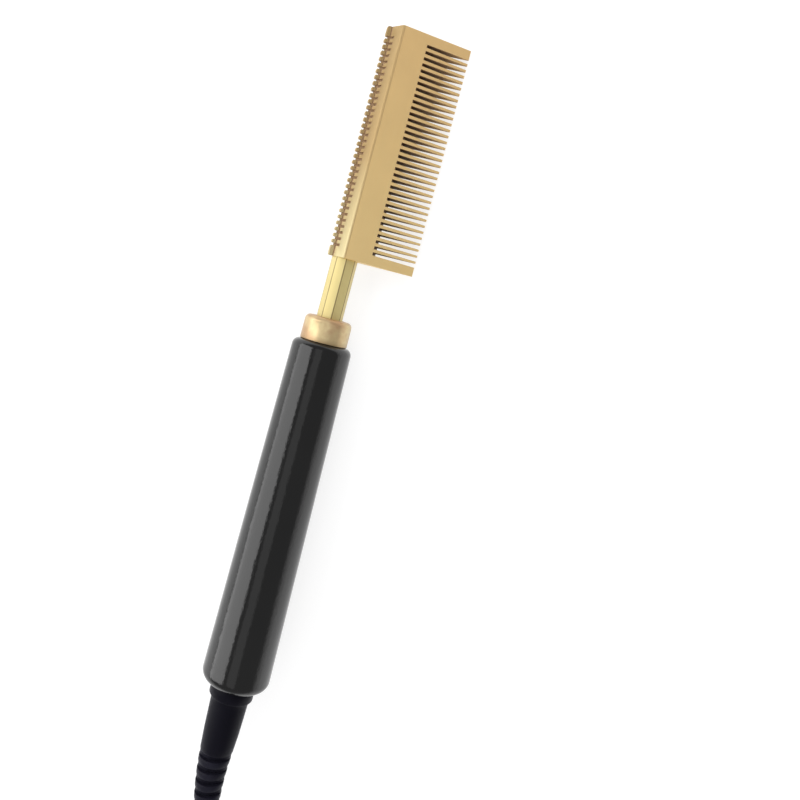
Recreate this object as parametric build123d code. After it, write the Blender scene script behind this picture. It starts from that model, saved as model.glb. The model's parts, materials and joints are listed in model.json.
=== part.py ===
"""Electric straightening comb: brass head, octagonal rod, handle, strain relief, cord, switch and plug.

Millimetres. The comb is drawn along +X from the handle's comb end, teeth towards -Y and front face
towards +Z. It is then rolled and tilted until it lies on the floor z = 0 as the real one does: on the
rear face of its heavy head and on the handle's comb end.
"""
from build123d import *

import os
from math import asin, atan, atan2, cos, degrees, hypot, pi, radians, sin, sqrt, tan

# ---- comb head -------------------------------------------------------------------------------------
TOOTH_PITCH = 2.54
LONG_TEETH = 34
END_TOOTH = 4.05
SLOT_AT_ROOT = 1.27
SLOT_AT_TIP = 1.70
ROOT_FRONT = 15.1
ROOT_REAR = 17.7
TIP_REACH = 34.0
TIP_HALF = 0.5
TIP_ROUND = 0.4
RIDGE_REACH = 3.7
RIDGE_HALF = 7.2
RIDGE_ROUND = 0.9
FIN_HEIGHT = 2.0
FIN_HALF = 1.05
FIN_ROUND = 0.5
NOTCH_WIDTH = 1.1
NOTCH_REACH = 1.4
END_CHAMFER = 0.25

# ---- rod and heater --------------------------------------------------------------------------------
ROD_ACROSS_FLATS = 9.95
ROD_REACH = 5.4
ROD_VISIBLE = 24.9
SPIGOT_DIAMETER = 8.8
SPIGOT_LENGTH = 12.0
ROD_BORE = 6.8
HEATER_GAP = 0.2
SLEEVE_WALL = 0.8
WINDING_WIRE = 0.5
WINDING_TURNS = 28
WINDING_END_ROOM = 4.0
HEATER_LENGTH = 88.0
HEATER_PAST_SPIGOT = 14.0
BORE_END_ROOM = 1.5
BEAD_LENGTH = 5.0

# ---- ferrule, handle and nut -----------------------------------------------------------------------
FERRULE_DIAMETER = 19.5
FERRULE_LENGTH = 10.3
FERRULE_ROUND = 1.6
WASHER_THICKNESS = 0.8
WASHER_INSET = 0.5
HANDLE_LENGTH = 142.5
HANDLE_COMB_END = 24.7
HANDLE_CORD_END = 28.0
HANDLE_COMB_ROUND = 3.0
HANDLE_CORD_ROUND = 4.0
HANDLE_ROD_BORE_LENGTH = 30.0
HANDLE_CAVITY = 17.0
ROD_CLEARANCE = 0.2
THREAD_DIAMETER = 9.4
NUT_ACROSS_FLATS = 14.0
NUT_THICKNESS = 5.0
NUT_WASHER_DIAMETER = 16.0
NUT_WASHER_THICKNESS = 1.0
ROD_PAST_NUT = 3.0
THREAD_IN_HANDLE = 1.0

# ---- strain relief ---------------------------------------------------------------------------------
BOOT_INSIDE = 13.5
BOOT_INSIDE_GAP = 0.15
BOOT_FLANGE = 18.0
BOOT_FLANGE_THICKNESS = 4.8
BOOT_FLANGE_CHAMFER = 0.8
BOOT_LENGTH = 58.1
BOOT_NECK = 15.6
BOOT_WAIST = 14.5
BOOT_WAIST_AT = 20.0
BOOT_TIP = 9.4
BOOT_RIBS = 6
BOOT_GROOVE_DEPTH = 1.9
BOOT_GROOVE_SIDE_DEPTH = 0.4
BOOT_BEND_LENGTH = 28.2
BOOT_BEND_RADIUS = 130.0
BOOT_DROOP = 30.0

# ---- flat twin cord and wires ----------------------------------------------------------------------
CORD_WIDTH = 5.6
CORD_THICKNESS = 2.9
FIT_GAP = 0.05
CORE_OFFSET = 1.6
CORE_DIAMETER = 2.2
CORE_BEND = 2.0
CORE_TURN_AT = 15.5
CORE_STRAIGHT = 3.0
LEAD_DIAMETER = 1.3
CRIMP_DIAMETER = 3.0
CRIMP_LENGTH = 12.0
CRIMP_GRIP = 4.8
CRIMP_FROM_NUT = 26.0
FUSE_DIAMETER = 3.6
FUSE_LENGTH = 11.0
FUSE_FROM_NUT = 8.0
FUSE_SLEEVE_WALL = 0.35
FUSE_SLEEVE_PAST = 1.5
CORD_END_PAST_CLAMP = 5.0
CLAMP_LENGTH = 7.0
CLAMP_DIAMETER = 14.0

# ---- in-line switch --------------------------------------------------------------------------------
SWITCH_LENGTH = 62.0
SWITCH_WIDTH = 24.0
SWITCH_HEIGHT = 17.0
SWITCH_SPLIT = 8.5
SWITCH_CORNER = 5.5
SWITCH_EDGE = 1.8
SWITCH_LOW_EDGE = 0.9
SWITCH_WALL = 1.8
ENTRY_GAP = 0.3
ROCKER_LENGTH = 16.4
ROCKER_WIDTH = 12.0
ROCKER_CORNER = 5.4
ROCKER_END_HEIGHT = 3.4
ROCKER_DIP = 1.7
ROCKER_SKIRT = 1.6
ROCKER_BELLY = 3.2
ROCKER_GAP = 0.3
ROCKER_THROW = 14.0
PIN_DIAMETER = 2.0
PIN_GAP = 0.08
PIN_SEAT_GAP = 0.02
PIN_BELOW_TOP = 3.4
EAR_WALL = 1.6
EAR_LENGTH = 6.0
EAR_BELOW_PIN = 2.5
STEM_WIDTH = 3.0
STEM_DEPTH = 4.6
STEM_LENGTH = 7.0
CONTACT_THICKNESS = 0.5
CONTACT_SPREAD = 3.2
CONTACT_WIDTH = 2.0
CONTACT_FOOT = 8.0
CONTACT_GAP = 0.1
BRIDGE_HEIGHT = 2.5
CORE_AT_FOOT = 9.5
SPRING_THICKNESS = 0.4
SPRING_WIDTH = 4.0
SPRING_HALF = 9.0
SPRING_RISE_HALF = 5.0
SPRING_CLEARANCE = 0.4
SCREW_X = 24.0
SCREW_Y = 6.6
SCREW_DIAMETER = 2.6
SCREW_HEAD = 4.6
SCREW_LENGTH = 12.0
SCREW_HEAD_HEIGHT = 1.2
SCREW_SINK = 0.3
SCREW_END_ROOM = 0.5
BOSS_DIAMETER = 5.2

# ---- plug ------------------------------------------------------------------------------------------
PLUG_WIDTH = 24.0
PLUG_HEIGHT = 16.0
PLUG_LENGTH = 22.0
PLUG_FLANGE_WIDTH = 27.0
PLUG_FLANGE_HEIGHT = 18.0
PLUG_FLANGE_THICKNESS = 2.5
PLUG_RELIEF_LENGTH = 11.0
PLUG_RELIEF_DIAMETER = 9.6
PLUG_TIP_DIAMETER = 7.6
PLUG_ROUND = 3.0
PLUG_FLANGE_ROUND = 4.0
BLADE_SPACING = 12.7
BLADE_WIDTH = 6.35
BLADE_THICKNESS = 1.5
BLADE_LENGTH = 17.0
BLADE_ROOT = 6.0
BLADE_HOLE = 3.2
BLADE_CHAMFER = 0.5
BLADE_HOLE_FROM_END = 4.0

# ---- cord layout on the floor ----------------------------------------------------------------------
CORD_FLOOR = CORD_THICKNESS / 2 + 0.05
CORD_IN_CASE = 9.0
SWITCH_MID = 8.5
SWITCH_Y = 6.0
SWITCH_DISTANCE = 143.0
FIRST_RUN = 22.0
TO_SWITCH = [
    (-44.0, -8.6, 10.8),
    (-66.0, -10.4, 3.6),
    (-88.0, -8.0, CORD_FLOOR),
    (-111.0, -3.0, CORD_FLOOR + 2.6),
]
LAST_RUN = 18.0
HANK_LEAD = 50.0
TO_HANK = [
    (-7.0, 0.0, SWITCH_MID),
    (-18.0, 2.0, 6.2),
    (-29.0, 6.2, 3.0),
    (-39.0, 9.8, CORD_FLOOR + 0.2),
]
TO_PLUG = [
    (-20.0, -17.0, 20.7),
    (-8.0, -16.0, 22.0),
    (3.0, -11.4, 25.0),
    (12.0, -7.3, 27.6),
]
PLUG_ENTRY = (22.0, -5.0, 28.7)
CORD_IN_PLUG = 2.0
TURN_STEP = 2.95
HANK_LAYERS = 7
HANK_LOOP_RADIUS = 17.3
HANK_WAIST = 3.9
HANK_EDGE_GAP = 0.2
TIE_WIDTH = 8.0
TIE_THICKNESS = 1.2
TIE_BITE = 0.8

# ---- worked out from the sizes above ---------------------------------------------------------------
SLOTS = LONG_TEETH + 1
HEAD_START = FERRULE_LENGTH + ROD_VISIBLE
HEAD_LENGTH = 2 * END_TOOTH + SLOT_AT_ROOT * SLOTS + (TOOTH_PITCH - SLOT_AT_ROOT) * LONG_TEETH
HEAD_END = HEAD_START + HEAD_LENGTH
FIRST_SLOT = HEAD_START + END_TOOTH + SLOT_AT_ROOT / 2
ROD_CORNER = ROD_ACROSS_FLATS / 2 / cos(radians(22.5))
BORE_START = HEAD_START + SPIGOT_LENGTH
HEATER_START = BORE_START - HEATER_PAST_SPIGOT - HEATER_GAP
HEATER_END = HEATER_START + HEATER_LENGTH
SLEEVE_OUTER = ROD_BORE - 2 * HEATER_GAP
SLEEVE_INNER = SLEEVE_OUTER - 2 * SLEEVE_WALL
WINDING_OUTER = SLEEVE_INNER - 2 * HEATER_GAP
HEATER_CORE = WINDING_OUTER - 2 * WINDING_WIRE
NUT_FACE = -HANDLE_ROD_BORE_LENGTH - NUT_WASHER_THICKNESS
NUT_END = NUT_FACE - NUT_THICKNESS
ROD_END = NUT_END - ROD_PAST_NUT
OCTAGON_START = -HANDLE_ROD_BORE_LENGTH + THREAD_IN_HANDLE
FUSE_START = NUT_END - FUSE_FROM_NUT
CRIMP_START = NUT_END - CRIMP_FROM_NUT
CRIMP_END = CRIMP_START - CRIMP_LENGTH
BOOT_INNER_END = -HANDLE_LENGTH + BOOT_INSIDE
CLAMP_START = BOOT_INNER_END + CLAMP_LENGTH
CORD_END = CLAMP_START + CORD_END_PAST_CLAMP
BOOT_BEND_START = -HANDLE_LENGTH - BOOT_LENGTH + BOOT_BEND_LENGTH
PIN_HEIGHT = SWITCH_HEIGHT - PIN_BELOW_TOP
SCREW_TOP = SCREW_SINK + SCREW_LENGTH + SCREW_END_ROOM


def across(reach):
    """Y of a point of the head that lies this far from the seam towards the tips."""
    return ROD_REACH - reach


def half_thickness(reach):
    """Half the head's thickness between its ridge and its tips."""
    slope = (RIDGE_HALF - TIP_HALF) / (TIP_REACH - RIDGE_REACH)
    return RIDGE_HALF - slope * (reach - RIDGE_REACH)


def rod_shape(diameter, start, end, y=0.0, z=0.0):
    """Round bar along X from start to end."""
    low = min(start, end)
    plane = Plane(origin=(low, y, z), x_dir=(0, 1, 0), z_dir=(1, 0, 0))
    return extrude(plane * Circle(diameter / 2), abs(end - start))


def turned(profile_points):
    """Solid turned about the X axis from (x, radius) points."""
    face = make_face(Polyline([(x, 0, r) for x, r in profile_points], close=True))
    return revolve(face, Axis.X, 360)


# ---- comb head -------------------------------------------------------------------------------------
def head_section():
    """Cross section of the head, seen along the rod: fin, strip, ridge and wedge."""
    half = [
        (-FIN_HEIGHT, FIN_HALF),
        (0.0, FIN_HALF),
        (RIDGE_REACH, RIDGE_HALF),
        (TIP_REACH, TIP_HALF),
    ]
    front = [(across(u), n) for u, n in half]
    rear = [(across(u), -n) for u, n in reversed(half)]
    section = make_face(Polyline(front + rear, close=True))
    for reach, rounding in [(-FIN_HEIGHT, FIN_ROUND), (RIDGE_REACH, RIDGE_ROUND), (TIP_REACH, TIP_ROUND)]:
        section = fillet(corners(section, reach), rounding)
    return section


def corners(section, reach):
    """The section's corners that lie this far from the seam."""
    return [v for v in section.vertices() if abs(v.X - across(reach)) < 0.01]


def tooth_slot(x):
    """Cutter for one gap between long teeth; its root slants from front to rear."""
    slope = (ROOT_REAR - ROOT_FRONT) / (half_thickness(ROOT_FRONT) + half_thickness(ROOT_REAR))
    below = 2 * RIDGE_HALF
    root = across(ROOT_FRONT) - slope * (below + half_thickness(ROOT_FRONT))
    tip = across(TIP_REACH + 2 * RIDGE_HALF)
    flare = (SLOT_AT_TIP - SLOT_AT_ROOT) / (TIP_REACH - ROOT_FRONT)
    half_root = SLOT_AT_ROOT / 2
    half_tip = half_root + flare * (root - tip) / 2
    outline = [(x - half_root, root), (x + half_root, root), (x + half_tip, tip), (x - half_tip, tip)]
    face = make_face(Polyline([(px, py, -below) for px, py in outline], close=True))
    return extrude(face, 2 * below * sqrt(1 + slope**2), dir=(0, slope, 1))


def fin_notch(x):
    """Cutter for one gap between the short teeth."""
    reach = FIN_HEIGHT + NOTCH_REACH + 1.0
    centre = across(NOTCH_REACH) + reach / 2
    return Pos(x, centre, 0) * Box(NOTCH_WIDTH, reach, 2 * RIDGE_HALF)


def comb_head():
    plane = Plane(origin=(HEAD_START, 0, 0), x_dir=(0, 1, 0), z_dir=(1, 0, 0))
    body = extrude(plane * head_section(), HEAD_LENGTH)
    body = chamfer(body.faces().sort_by(Axis.X)[-1].edges(), END_CHAMFER)
    cutters = []
    for i in range(SLOTS):
        x = FIRST_SLOT + i * TOOTH_PITCH
        cutters.append(tooth_slot(x))
        cutters.append(fin_notch(x))
    cutters.append(rod_shape(SPIGOT_DIAMETER + 2 * FIT_GAP, HEAD_START, BORE_START))
    cutters.append(rod_shape(ROD_BORE, BORE_START, HEATER_END + BORE_END_ROOM))
    return body - cutters


# ---- rod and heater --------------------------------------------------------------------------------
def rod_tube():
    octagon = RegularPolygon(ROD_CORNER, 8)
    start = OCTAGON_START
    plane = Plane(origin=(start, 0, 0), x_dir=(0, 1, 0), z_dir=(1, 0, 0))
    bar = extrude(plane * octagon, HEAD_START - start)
    bar += rod_shape(SPIGOT_DIAMETER, HEAD_START, BORE_START)
    bar += rod_shape(THREAD_DIAMETER, ROD_END, start)
    return bar - rod_shape(ROD_BORE, ROD_END - 1, BORE_START + 1)


def heater_core():
    return rod_shape(HEATER_CORE, HEATER_START, HEATER_END)


def heater_winding():
    """Close-wound resistance wire, one rounded ridge for each turn."""
    inner = HEATER_CORE / 2 + 0.02
    pitch = (HEATER_LENGTH - 2 * WINDING_END_ROOM) / WINDING_TURNS
    start = HEATER_START + WINDING_END_ROOM
    points = [(start, inner)]
    for i in range(WINDING_TURNS):
        x = start + i * pitch
        points += [(x + 0.2 * pitch, inner + WINDING_WIRE), (x + 0.6 * pitch, inner + WINDING_WIRE)]
        points.append((x + 0.8 * pitch, inner + 0.3 * WINDING_WIRE))
    points.append((start + WINDING_TURNS * pitch, inner))
    return turned(points)


def heater_sleeve():
    outer = rod_shape(SLEEVE_OUTER, HEATER_START, HEATER_END)
    return outer - rod_shape(SLEEVE_INNER, HEATER_START - 1, HEATER_END + 1)


def heater_end_bead():
    bead = rod_shape(ROD_BORE - 2 * FIT_GAP, ROD_END, ROD_END + BEAD_LENGTH)
    for side in (-1, 1):
        bead -= rod_shape(LEAD_DIAMETER + 2 * FIT_GAP, ROD_END - 1, ROD_END + BEAD_LENGTH + 1, side * CORE_OFFSET)
    return bead


# ---- ferrule, handle and nut -----------------------------------------------------------------------
def ferrule():
    body = rod_shape(FERRULE_DIAMETER, WASHER_THICKNESS, FERRULE_LENGTH)
    body = fillet(body.faces().sort_by(Axis.X)[-1].edges(), FERRULE_ROUND)
    return body - rod_shape(2 * ROD_CORNER + ROD_CLEARANCE, 0, FERRULE_LENGTH + 1)


def ferrule_washer():
    ring = rod_shape(FERRULE_DIAMETER - 2 * WASHER_INSET, 0, WASHER_THICKNESS)
    return ring - rod_shape(2 * ROD_CORNER + ROD_CLEARANCE, -1, FERRULE_LENGTH)


def handle():
    comb_radius = HANDLE_COMB_END / 2
    cord_radius = HANDLE_CORD_END / 2
    comb_round = HANDLE_COMB_ROUND
    cord_round = HANDLE_CORD_ROUND
    half = 1 - sqrt(0.5)
    outline = [
        Line((0, 0, 0), (0, 0, comb_radius - comb_round)),
        ThreePointArc(
            (0, 0, comb_radius - comb_round),
            (-comb_round * half, 0, comb_radius - comb_round * half),
            (-comb_round, 0, comb_radius),
        ),
        Line((-comb_round, 0, comb_radius), (-HANDLE_LENGTH + cord_round, 0, cord_radius)),
        ThreePointArc(
            (-HANDLE_LENGTH + cord_round, 0, cord_radius),
            (-HANDLE_LENGTH + cord_round * half, 0, cord_radius - cord_round * half),
            (-HANDLE_LENGTH, 0, cord_radius - cord_round),
        ),
        Line((-HANDLE_LENGTH, 0, cord_radius - cord_round), (-HANDLE_LENGTH, 0, 0)),
        Line((-HANDLE_LENGTH, 0, 0), (0, 0, 0)),
    ]
    body = revolve(make_face(outline), Axis.X, 360)
    body -= rod_shape(2 * ROD_CORNER + ROD_CLEARANCE, -HANDLE_ROD_BORE_LENGTH, 1)
    return body - rod_shape(HANDLE_CAVITY, -HANDLE_LENGTH - 1, -HANDLE_ROD_BORE_LENGTH)


def nut_washer():
    ring = rod_shape(NUT_WASHER_DIAMETER, NUT_FACE, -HANDLE_ROD_BORE_LENGTH)
    return ring - rod_shape(THREAD_DIAMETER + 2 * HEATER_GAP, NUT_FACE - 1, 0)


def rod_nut():
    plane = Plane(origin=(NUT_END, 0, 0), x_dir=(0, 1, 0), z_dir=(1, 0, 0))
    corner = NUT_ACROSS_FLATS / 2 / cos(radians(30))
    nut = extrude(plane * RegularPolygon(corner, 6), NUT_THICKNESS)
    return nut - rod_shape(THREAD_DIAMETER + 2 * FIT_GAP, NUT_END - 1, NUT_FACE + 1)


# ---- wiring in the handle --------------------------------------------------------------------------
def heater_leads():
    """Two leads from the heater to the crimps; the first is broken by the fuse."""
    fuse_end = FUSE_START - FUSE_LENGTH
    broken = [
        rod_shape(LEAD_DIAMETER, FUSE_START, HEATER_START, CORE_OFFSET),
        rod_shape(LEAD_DIAMETER, CRIMP_START - CRIMP_GRIP, fuse_end, CORE_OFFSET),
    ]
    whole = rod_shape(LEAD_DIAMETER, CRIMP_START - CRIMP_GRIP, HEATER_START, -CORE_OFFSET)
    return Compound(children=[*broken, whole])


def thermal_fuse():
    return rod_shape(FUSE_DIAMETER, FUSE_START - FUSE_LENGTH, FUSE_START, CORE_OFFSET)


def fuse_sleeve():
    inner = FUSE_DIAMETER + 2 * FIT_GAP
    outer = inner + 2 * FUSE_SLEEVE_WALL
    start = FUSE_START - FUSE_LENGTH
    sleeve = rod_shape(outer, start - FUSE_SLEEVE_PAST, FUSE_START + FUSE_SLEEVE_PAST, CORE_OFFSET)
    return sleeve - rod_shape(inner, start - 3, FUSE_START + 3, CORE_OFFSET)


def crimp_joints():
    joints = []
    for side in (-1, 1):
        y = side * CORE_OFFSET
        barrel = rod_shape(CRIMP_DIAMETER, CRIMP_END, CRIMP_START, y)
        barrel -= rod_shape(LEAD_DIAMETER, CRIMP_START - CRIMP_GRIP, CRIMP_START, y)
        barrel -= rod_shape(CORE_DIAMETER, CRIMP_END, CRIMP_END + CRIMP_GRIP, y)
        joints.append(barrel)
    return Compound(children=joints)


def supply_cores():
    far = CRIMP_END + CRIMP_GRIP
    return Compound(children=[rod_shape(CORE_DIAMETER, CORD_END, far, s * CORE_OFFSET) for s in (-1, 1)])


def cord_section(gap=0.0):
    """Rounded flat section of the twin cord."""
    return SlotOverall(CORD_WIDTH + 2 * gap, CORD_THICKNESS + 2 * gap)


def boot_path(start):
    """The cord's line through the boot: straight, then bent sideways and a little down."""
    droop = radians(BOOT_DROOP)
    side = Vector(0, -cos(droop), -sin(droop))
    turn = BOOT_BEND_LENGTH / BOOT_BEND_RADIUS
    begin = Vector(BOOT_BEND_START, 0, 0)
    middle = begin + Vector(-BOOT_BEND_RADIUS * sin(turn / 2), 0, 0)
    middle += side * (BOOT_BEND_RADIUS * (1 - cos(turn / 2)))
    end = begin + Vector(-BOOT_BEND_RADIUS * sin(turn), 0, 0) + side * (BOOT_BEND_RADIUS * (1 - cos(turn)))
    straight = Edge.make_line(Vector(start, 0, 0), begin)
    bend = Edge.make_three_point_arc(begin, middle, end)
    return straight, bend


def along_boot(section, start):
    """Sweep a section through the boot's line from X = start to the boot's tip."""
    straight, bend = boot_path(start)
    plane = Plane(origin=(start, 0, 0), x_dir=(0, 1, 0), z_dir=(-1, 0, 0))
    return sweep(plane * section, path=Wire([straight, bend]))


def cord_inner_end():
    return along_boot(cord_section(), CORD_END)


def cord_clamp():
    body = rod_shape(CLAMP_DIAMETER, BOOT_INNER_END, CLAMP_START)
    return body - along_boot(cord_section(FIT_GAP), CORD_END + 1)


def strain_relief():
    """Flanged boot with grooves near its tip, bent at the end with the cord."""
    flange_end = -HANDLE_LENGTH - BOOT_FLANGE_THICKNESS
    waist = -HANDLE_LENGTH - BOOT_WAIST_AT
    body = rod_shape(HANDLE_CAVITY - 2 * BOOT_INSIDE_GAP, -HANDLE_LENGTH, BOOT_INNER_END)
    flange = rod_shape(BOOT_FLANGE, flange_end, -HANDLE_LENGTH)
    body += chamfer(flange.faces().sort_by(Axis.X)[0].edges(), BOOT_FLANGE_CHAMFER)
    body += turned([
        (flange_end, 0),
        (flange_end, BOOT_NECK / 2),
        (waist, BOOT_WAIST / 2),
        (BOOT_BEND_START, boot_radius(BOOT_BEND_START)),
        (BOOT_BEND_START, 0),
    ])
    bend = boot_path(CORD_END)[1]
    rings = BOOT_RIBS * 2
    for i in range(rings):
        body += boot_ring(bend, i / rings, (i + 1) / rings, groove=i % 2 == 0)
    return body - along_boot(cord_section(FIT_GAP), CORD_END + 1)


def boot_radius(x):
    """Radius of the boot past its waist, by distance along its line."""
    waist = -HANDLE_LENGTH - BOOT_WAIST_AT
    tip = -HANDLE_LENGTH - BOOT_LENGTH
    share = (waist - x) / (waist - tip)
    return BOOT_WAIST / 2 + (BOOT_TIP - BOOT_WAIST) / 2 * share


def boot_ring(bend, start, end, groove):
    """One short length of the bent tip: a rib, or a groove's flattened core."""
    sections = []
    for t in (start, end):
        plane = Plane(origin=bend @ t, z_dir=bend % t, x_dir=(0, 0, 1))
        radius = boot_radius(BOOT_BEND_START - t * BOOT_BEND_LENGTH)
        section = Circle(radius)
        if groove:
            section = Ellipse(radius - BOOT_GROOVE_DEPTH, radius - BOOT_GROOVE_SIDE_DEPTH)
        sections.append(plane * section)
    return loft(sections)


# ---- in-line switch, drawn about the middle of its underside ---------------------------------------
def case_block(height_low, height_high):
    """Slab of the case's rounded outline between two heights."""
    face = Pos(0, 0, height_low) * RectangleRounded(SWITCH_LENGTH, SWITCH_WIDTH, SWITCH_CORNER)
    return extrude(face, height_high - height_low)


def case_cavity(height_low, height_high):
    corner = SWITCH_CORNER - SWITCH_WALL
    face = RectangleRounded(SWITCH_LENGTH - 2 * SWITCH_WALL, SWITCH_WIDTH - 2 * SWITCH_WALL, corner)
    return extrude(Pos(0, 0, height_low) * face, height_high - height_low)


def cord_entries():
    """The flat cord's way through both ends of the case."""
    plane = Plane(origin=(-SWITCH_LENGTH, 0, SWITCH_MID), x_dir=(0, 1, 0), z_dir=(1, 0, 0))
    return extrude(plane * cord_section(ENTRY_GAP), 2 * SWITCH_LENGTH)


def screw_places():
    return [(SCREW_X, SCREW_Y), (-SCREW_X, -SCREW_Y)]


def switch_lower_case():
    body = case_block(0, SWITCH_SPLIT)
    body = fillet(body.faces().sort_by(Axis.Z)[0].edges(), SWITCH_LOW_EDGE)
    body -= case_cavity(SWITCH_WALL, SWITCH_SPLIT)
    for x, y in screw_places():
        body += Pos(x, y, SWITCH_SPLIT / 2) * Cylinder(BOSS_DIAMETER / 2, SWITCH_SPLIT - 2 * FIT_GAP)
        body -= Pos(x, y, SWITCH_SPLIT / 2) * Cylinder(SCREW_DIAMETER / 2 + FIT_GAP, SWITCH_SPLIT + 2)
        seat = 2 * (SCREW_SINK + SCREW_HEAD_HEIGHT + FIT_GAP)
        body -= Pos(x, y, 0) * Cylinder(SCREW_HEAD / 2 + 2 * FIT_GAP, seat)
    return body - cord_entries()


def switch_upper_case():
    body = case_block(SWITCH_SPLIT, SWITCH_HEIGHT)
    body = fillet(body.faces().sort_by(Axis.Z)[-1].edges(), SWITCH_EDGE)
    body -= case_cavity(SWITCH_SPLIT, SWITCH_HEIGHT - SWITCH_WALL)
    ear_y = ROCKER_WIDTH / 2 + ROCKER_GAP + EAR_WALL / 2
    for side in (-1, 1):
        low = PIN_HEIGHT - EAR_BELOW_PIN
        high = SWITCH_HEIGHT - SWITCH_WALL
        body += Pos(0, side * ear_y, (low + high) / 2) * Box(EAR_LENGTH, EAR_WALL, high - low)
    pin_room = Cylinder(PIN_DIAMETER / 2 + PIN_SEAT_GAP, 2 * (ear_y + EAR_WALL))
    body -= Pos(0, 0, PIN_HEIGHT) * Rot(90, 0, 0) * pin_room
    for x, y in screw_places():
        high = SWITCH_HEIGHT - SWITCH_WALL
        body += Pos(x, y, (SWITCH_SPLIT + high) / 2) * Cylinder(BOSS_DIAMETER / 2, high - SWITCH_SPLIT)
        body -= Pos(x, y, SWITCH_SPLIT) * Cylinder(SCREW_DIAMETER / 2, 2 * (SCREW_TOP - SWITCH_SPLIT))
    swing = hypot(ROCKER_LENGTH / 2, ROCKER_END_HEIGHT)
    window = RectangleRounded(2 * (swing + ROCKER_GAP), ROCKER_WIDTH + 2 * ROCKER_GAP, ROCKER_CORNER)
    body -= extrude(Pos(0, 0, SWITCH_HEIGHT - SWITCH_WALL - 1) * window, SWITCH_WALL + 2)
    return body - cord_entries()


def at_rest(shape):
    """Turn a piece of the rocker to its OFF position."""
    half_throw = ROCKER_THROW / 2
    return Pos(0, 0, PIN_HEIGHT) * Rot(0, -half_throw, 0) * shape


def switch_rocker():
    """Concave rocker with its stem, drawn about the pin's axis."""
    end = ROCKER_LENGTH / 2
    swing = hypot(end, ROCKER_END_HEIGHT)
    low_end = sqrt(swing**2 - ROCKER_SKIRT**2)
    outline = [
        ThreePointArc((-end, ROCKER_END_HEIGHT), (0, ROCKER_DIP), (end, ROCKER_END_HEIGHT)),
        ThreePointArc((end, ROCKER_END_HEIGHT), (swing, 0), (low_end, -ROCKER_SKIRT)),
        Polyline((low_end, -ROCKER_SKIRT), (STEM_WIDTH, -ROCKER_BELLY), (-STEM_WIDTH, -ROCKER_BELLY),
                 (-low_end, -ROCKER_SKIRT)),
        ThreePointArc((-low_end, -ROCKER_SKIRT), (-swing, 0), (-end, ROCKER_END_HEIGHT)),
    ]
    side = Plane(origin=(0, 0, 0), x_dir=(1, 0, 0), z_dir=(0, -1, 0))
    body = extrude(side * make_face(outline), ROCKER_WIDTH / 2, both=True)
    plan = RectangleRounded(2 * swing, ROCKER_WIDTH, ROCKER_CORNER)
    body &= extrude(Pos(0, 0, -ROCKER_BELLY) * plan, ROCKER_BELLY + ROCKER_END_HEIGHT)
    stem_height = STEM_LENGTH - ROCKER_BELLY / 2
    stem = Box(STEM_WIDTH, STEM_DEPTH, stem_height)
    body += Pos(0, 0, -STEM_LENGTH + stem_height / 2) * stem
    body -= Rot(90, 0, 0) * Cylinder(PIN_DIAMETER / 2 + PIN_GAP, ROCKER_WIDTH + 2)
    return at_rest(body)


def rocker_pin():
    length = ROCKER_WIDTH + 2 * (ROCKER_GAP + EAR_WALL)
    return Pos(0, 0, PIN_HEIGHT) * Rot(90, 0, 0) * Cylinder(PIN_DIAMETER / 2, length)


def moving_contact():
    """Bridge plate on the stem's contact side."""
    width = 2 * CONTACT_SPREAD + CONTACT_WIDTH
    plate = Box(CONTACT_THICKNESS, width, BRIDGE_HEIGHT)
    x = -(STEM_WIDTH + CONTACT_THICKNESS) / 2
    return at_rest(Pos(x, 0, -STEM_LENGTH + BRIDGE_HEIGHT / 2) * plate)


def fixed_contacts():
    """Two standing strips that the bridge reaches at ON."""
    reach = STEM_WIDTH / 2 + CONTACT_THICKNESS
    half_throw = radians(ROCKER_THROW / 2)
    face = -(reach * cos(half_throw) + STEM_LENGTH * sin(half_throw) + CONTACT_GAP)
    strips = []
    for side in (-1, 1):
        y = side * CONTACT_SPREAD
        top = PIN_HEIGHT - STEM_LENGTH + BRIDGE_HEIGHT
        upright = Pos(face - CONTACT_THICKNESS / 2, y, (SWITCH_WALL + top) / 2)
        strip = upright * Box(CONTACT_THICKNESS, CONTACT_WIDTH, top - SWITCH_WALL)
        foot = Pos(face - CONTACT_FOOT / 2, y, SWITCH_WALL + CONTACT_THICKNESS / 2)
        strip += foot * Box(CONTACT_FOOT, CONTACT_WIDTH, CONTACT_THICKNESS)
        strips.append(strip)
    return Compound(children=strips)


def detent_spring():
    """Bent leaf on the case's floor under the stem."""
    half = SPRING_THICKNESS / 2
    peak = PIN_HEIGHT - STEM_LENGTH - SPRING_CLEARANCE - half
    low = SWITCH_WALL + half
    line = Polyline(
        (-SPRING_HALF, low), (-SPRING_RISE_HALF, low), (0, peak), (SPRING_RISE_HALF, low), (SPRING_HALF, low)
    )
    side = Plane(origin=(0, 0, 0), x_dir=(1, 0, 0), z_dir=(0, -1, 0))
    return extrude(side * make_face(offset(line, half).edges()), SPRING_WIDTH / 2, both=True)


def switch_screws():
    screws = []
    for x, y in screw_places():
        head = Pos(x, y, SCREW_SINK + SCREW_HEAD_HEIGHT / 2) * Cylinder(SCREW_HEAD / 2, SCREW_HEAD_HEIGHT)
        shank = Pos(x, y, SCREW_SINK + SCREW_LENGTH / 2) * Cylinder(SCREW_DIAMETER / 2, SCREW_LENGTH)
        screws.append(head + shank)
    return Compound(children=screws)


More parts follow.
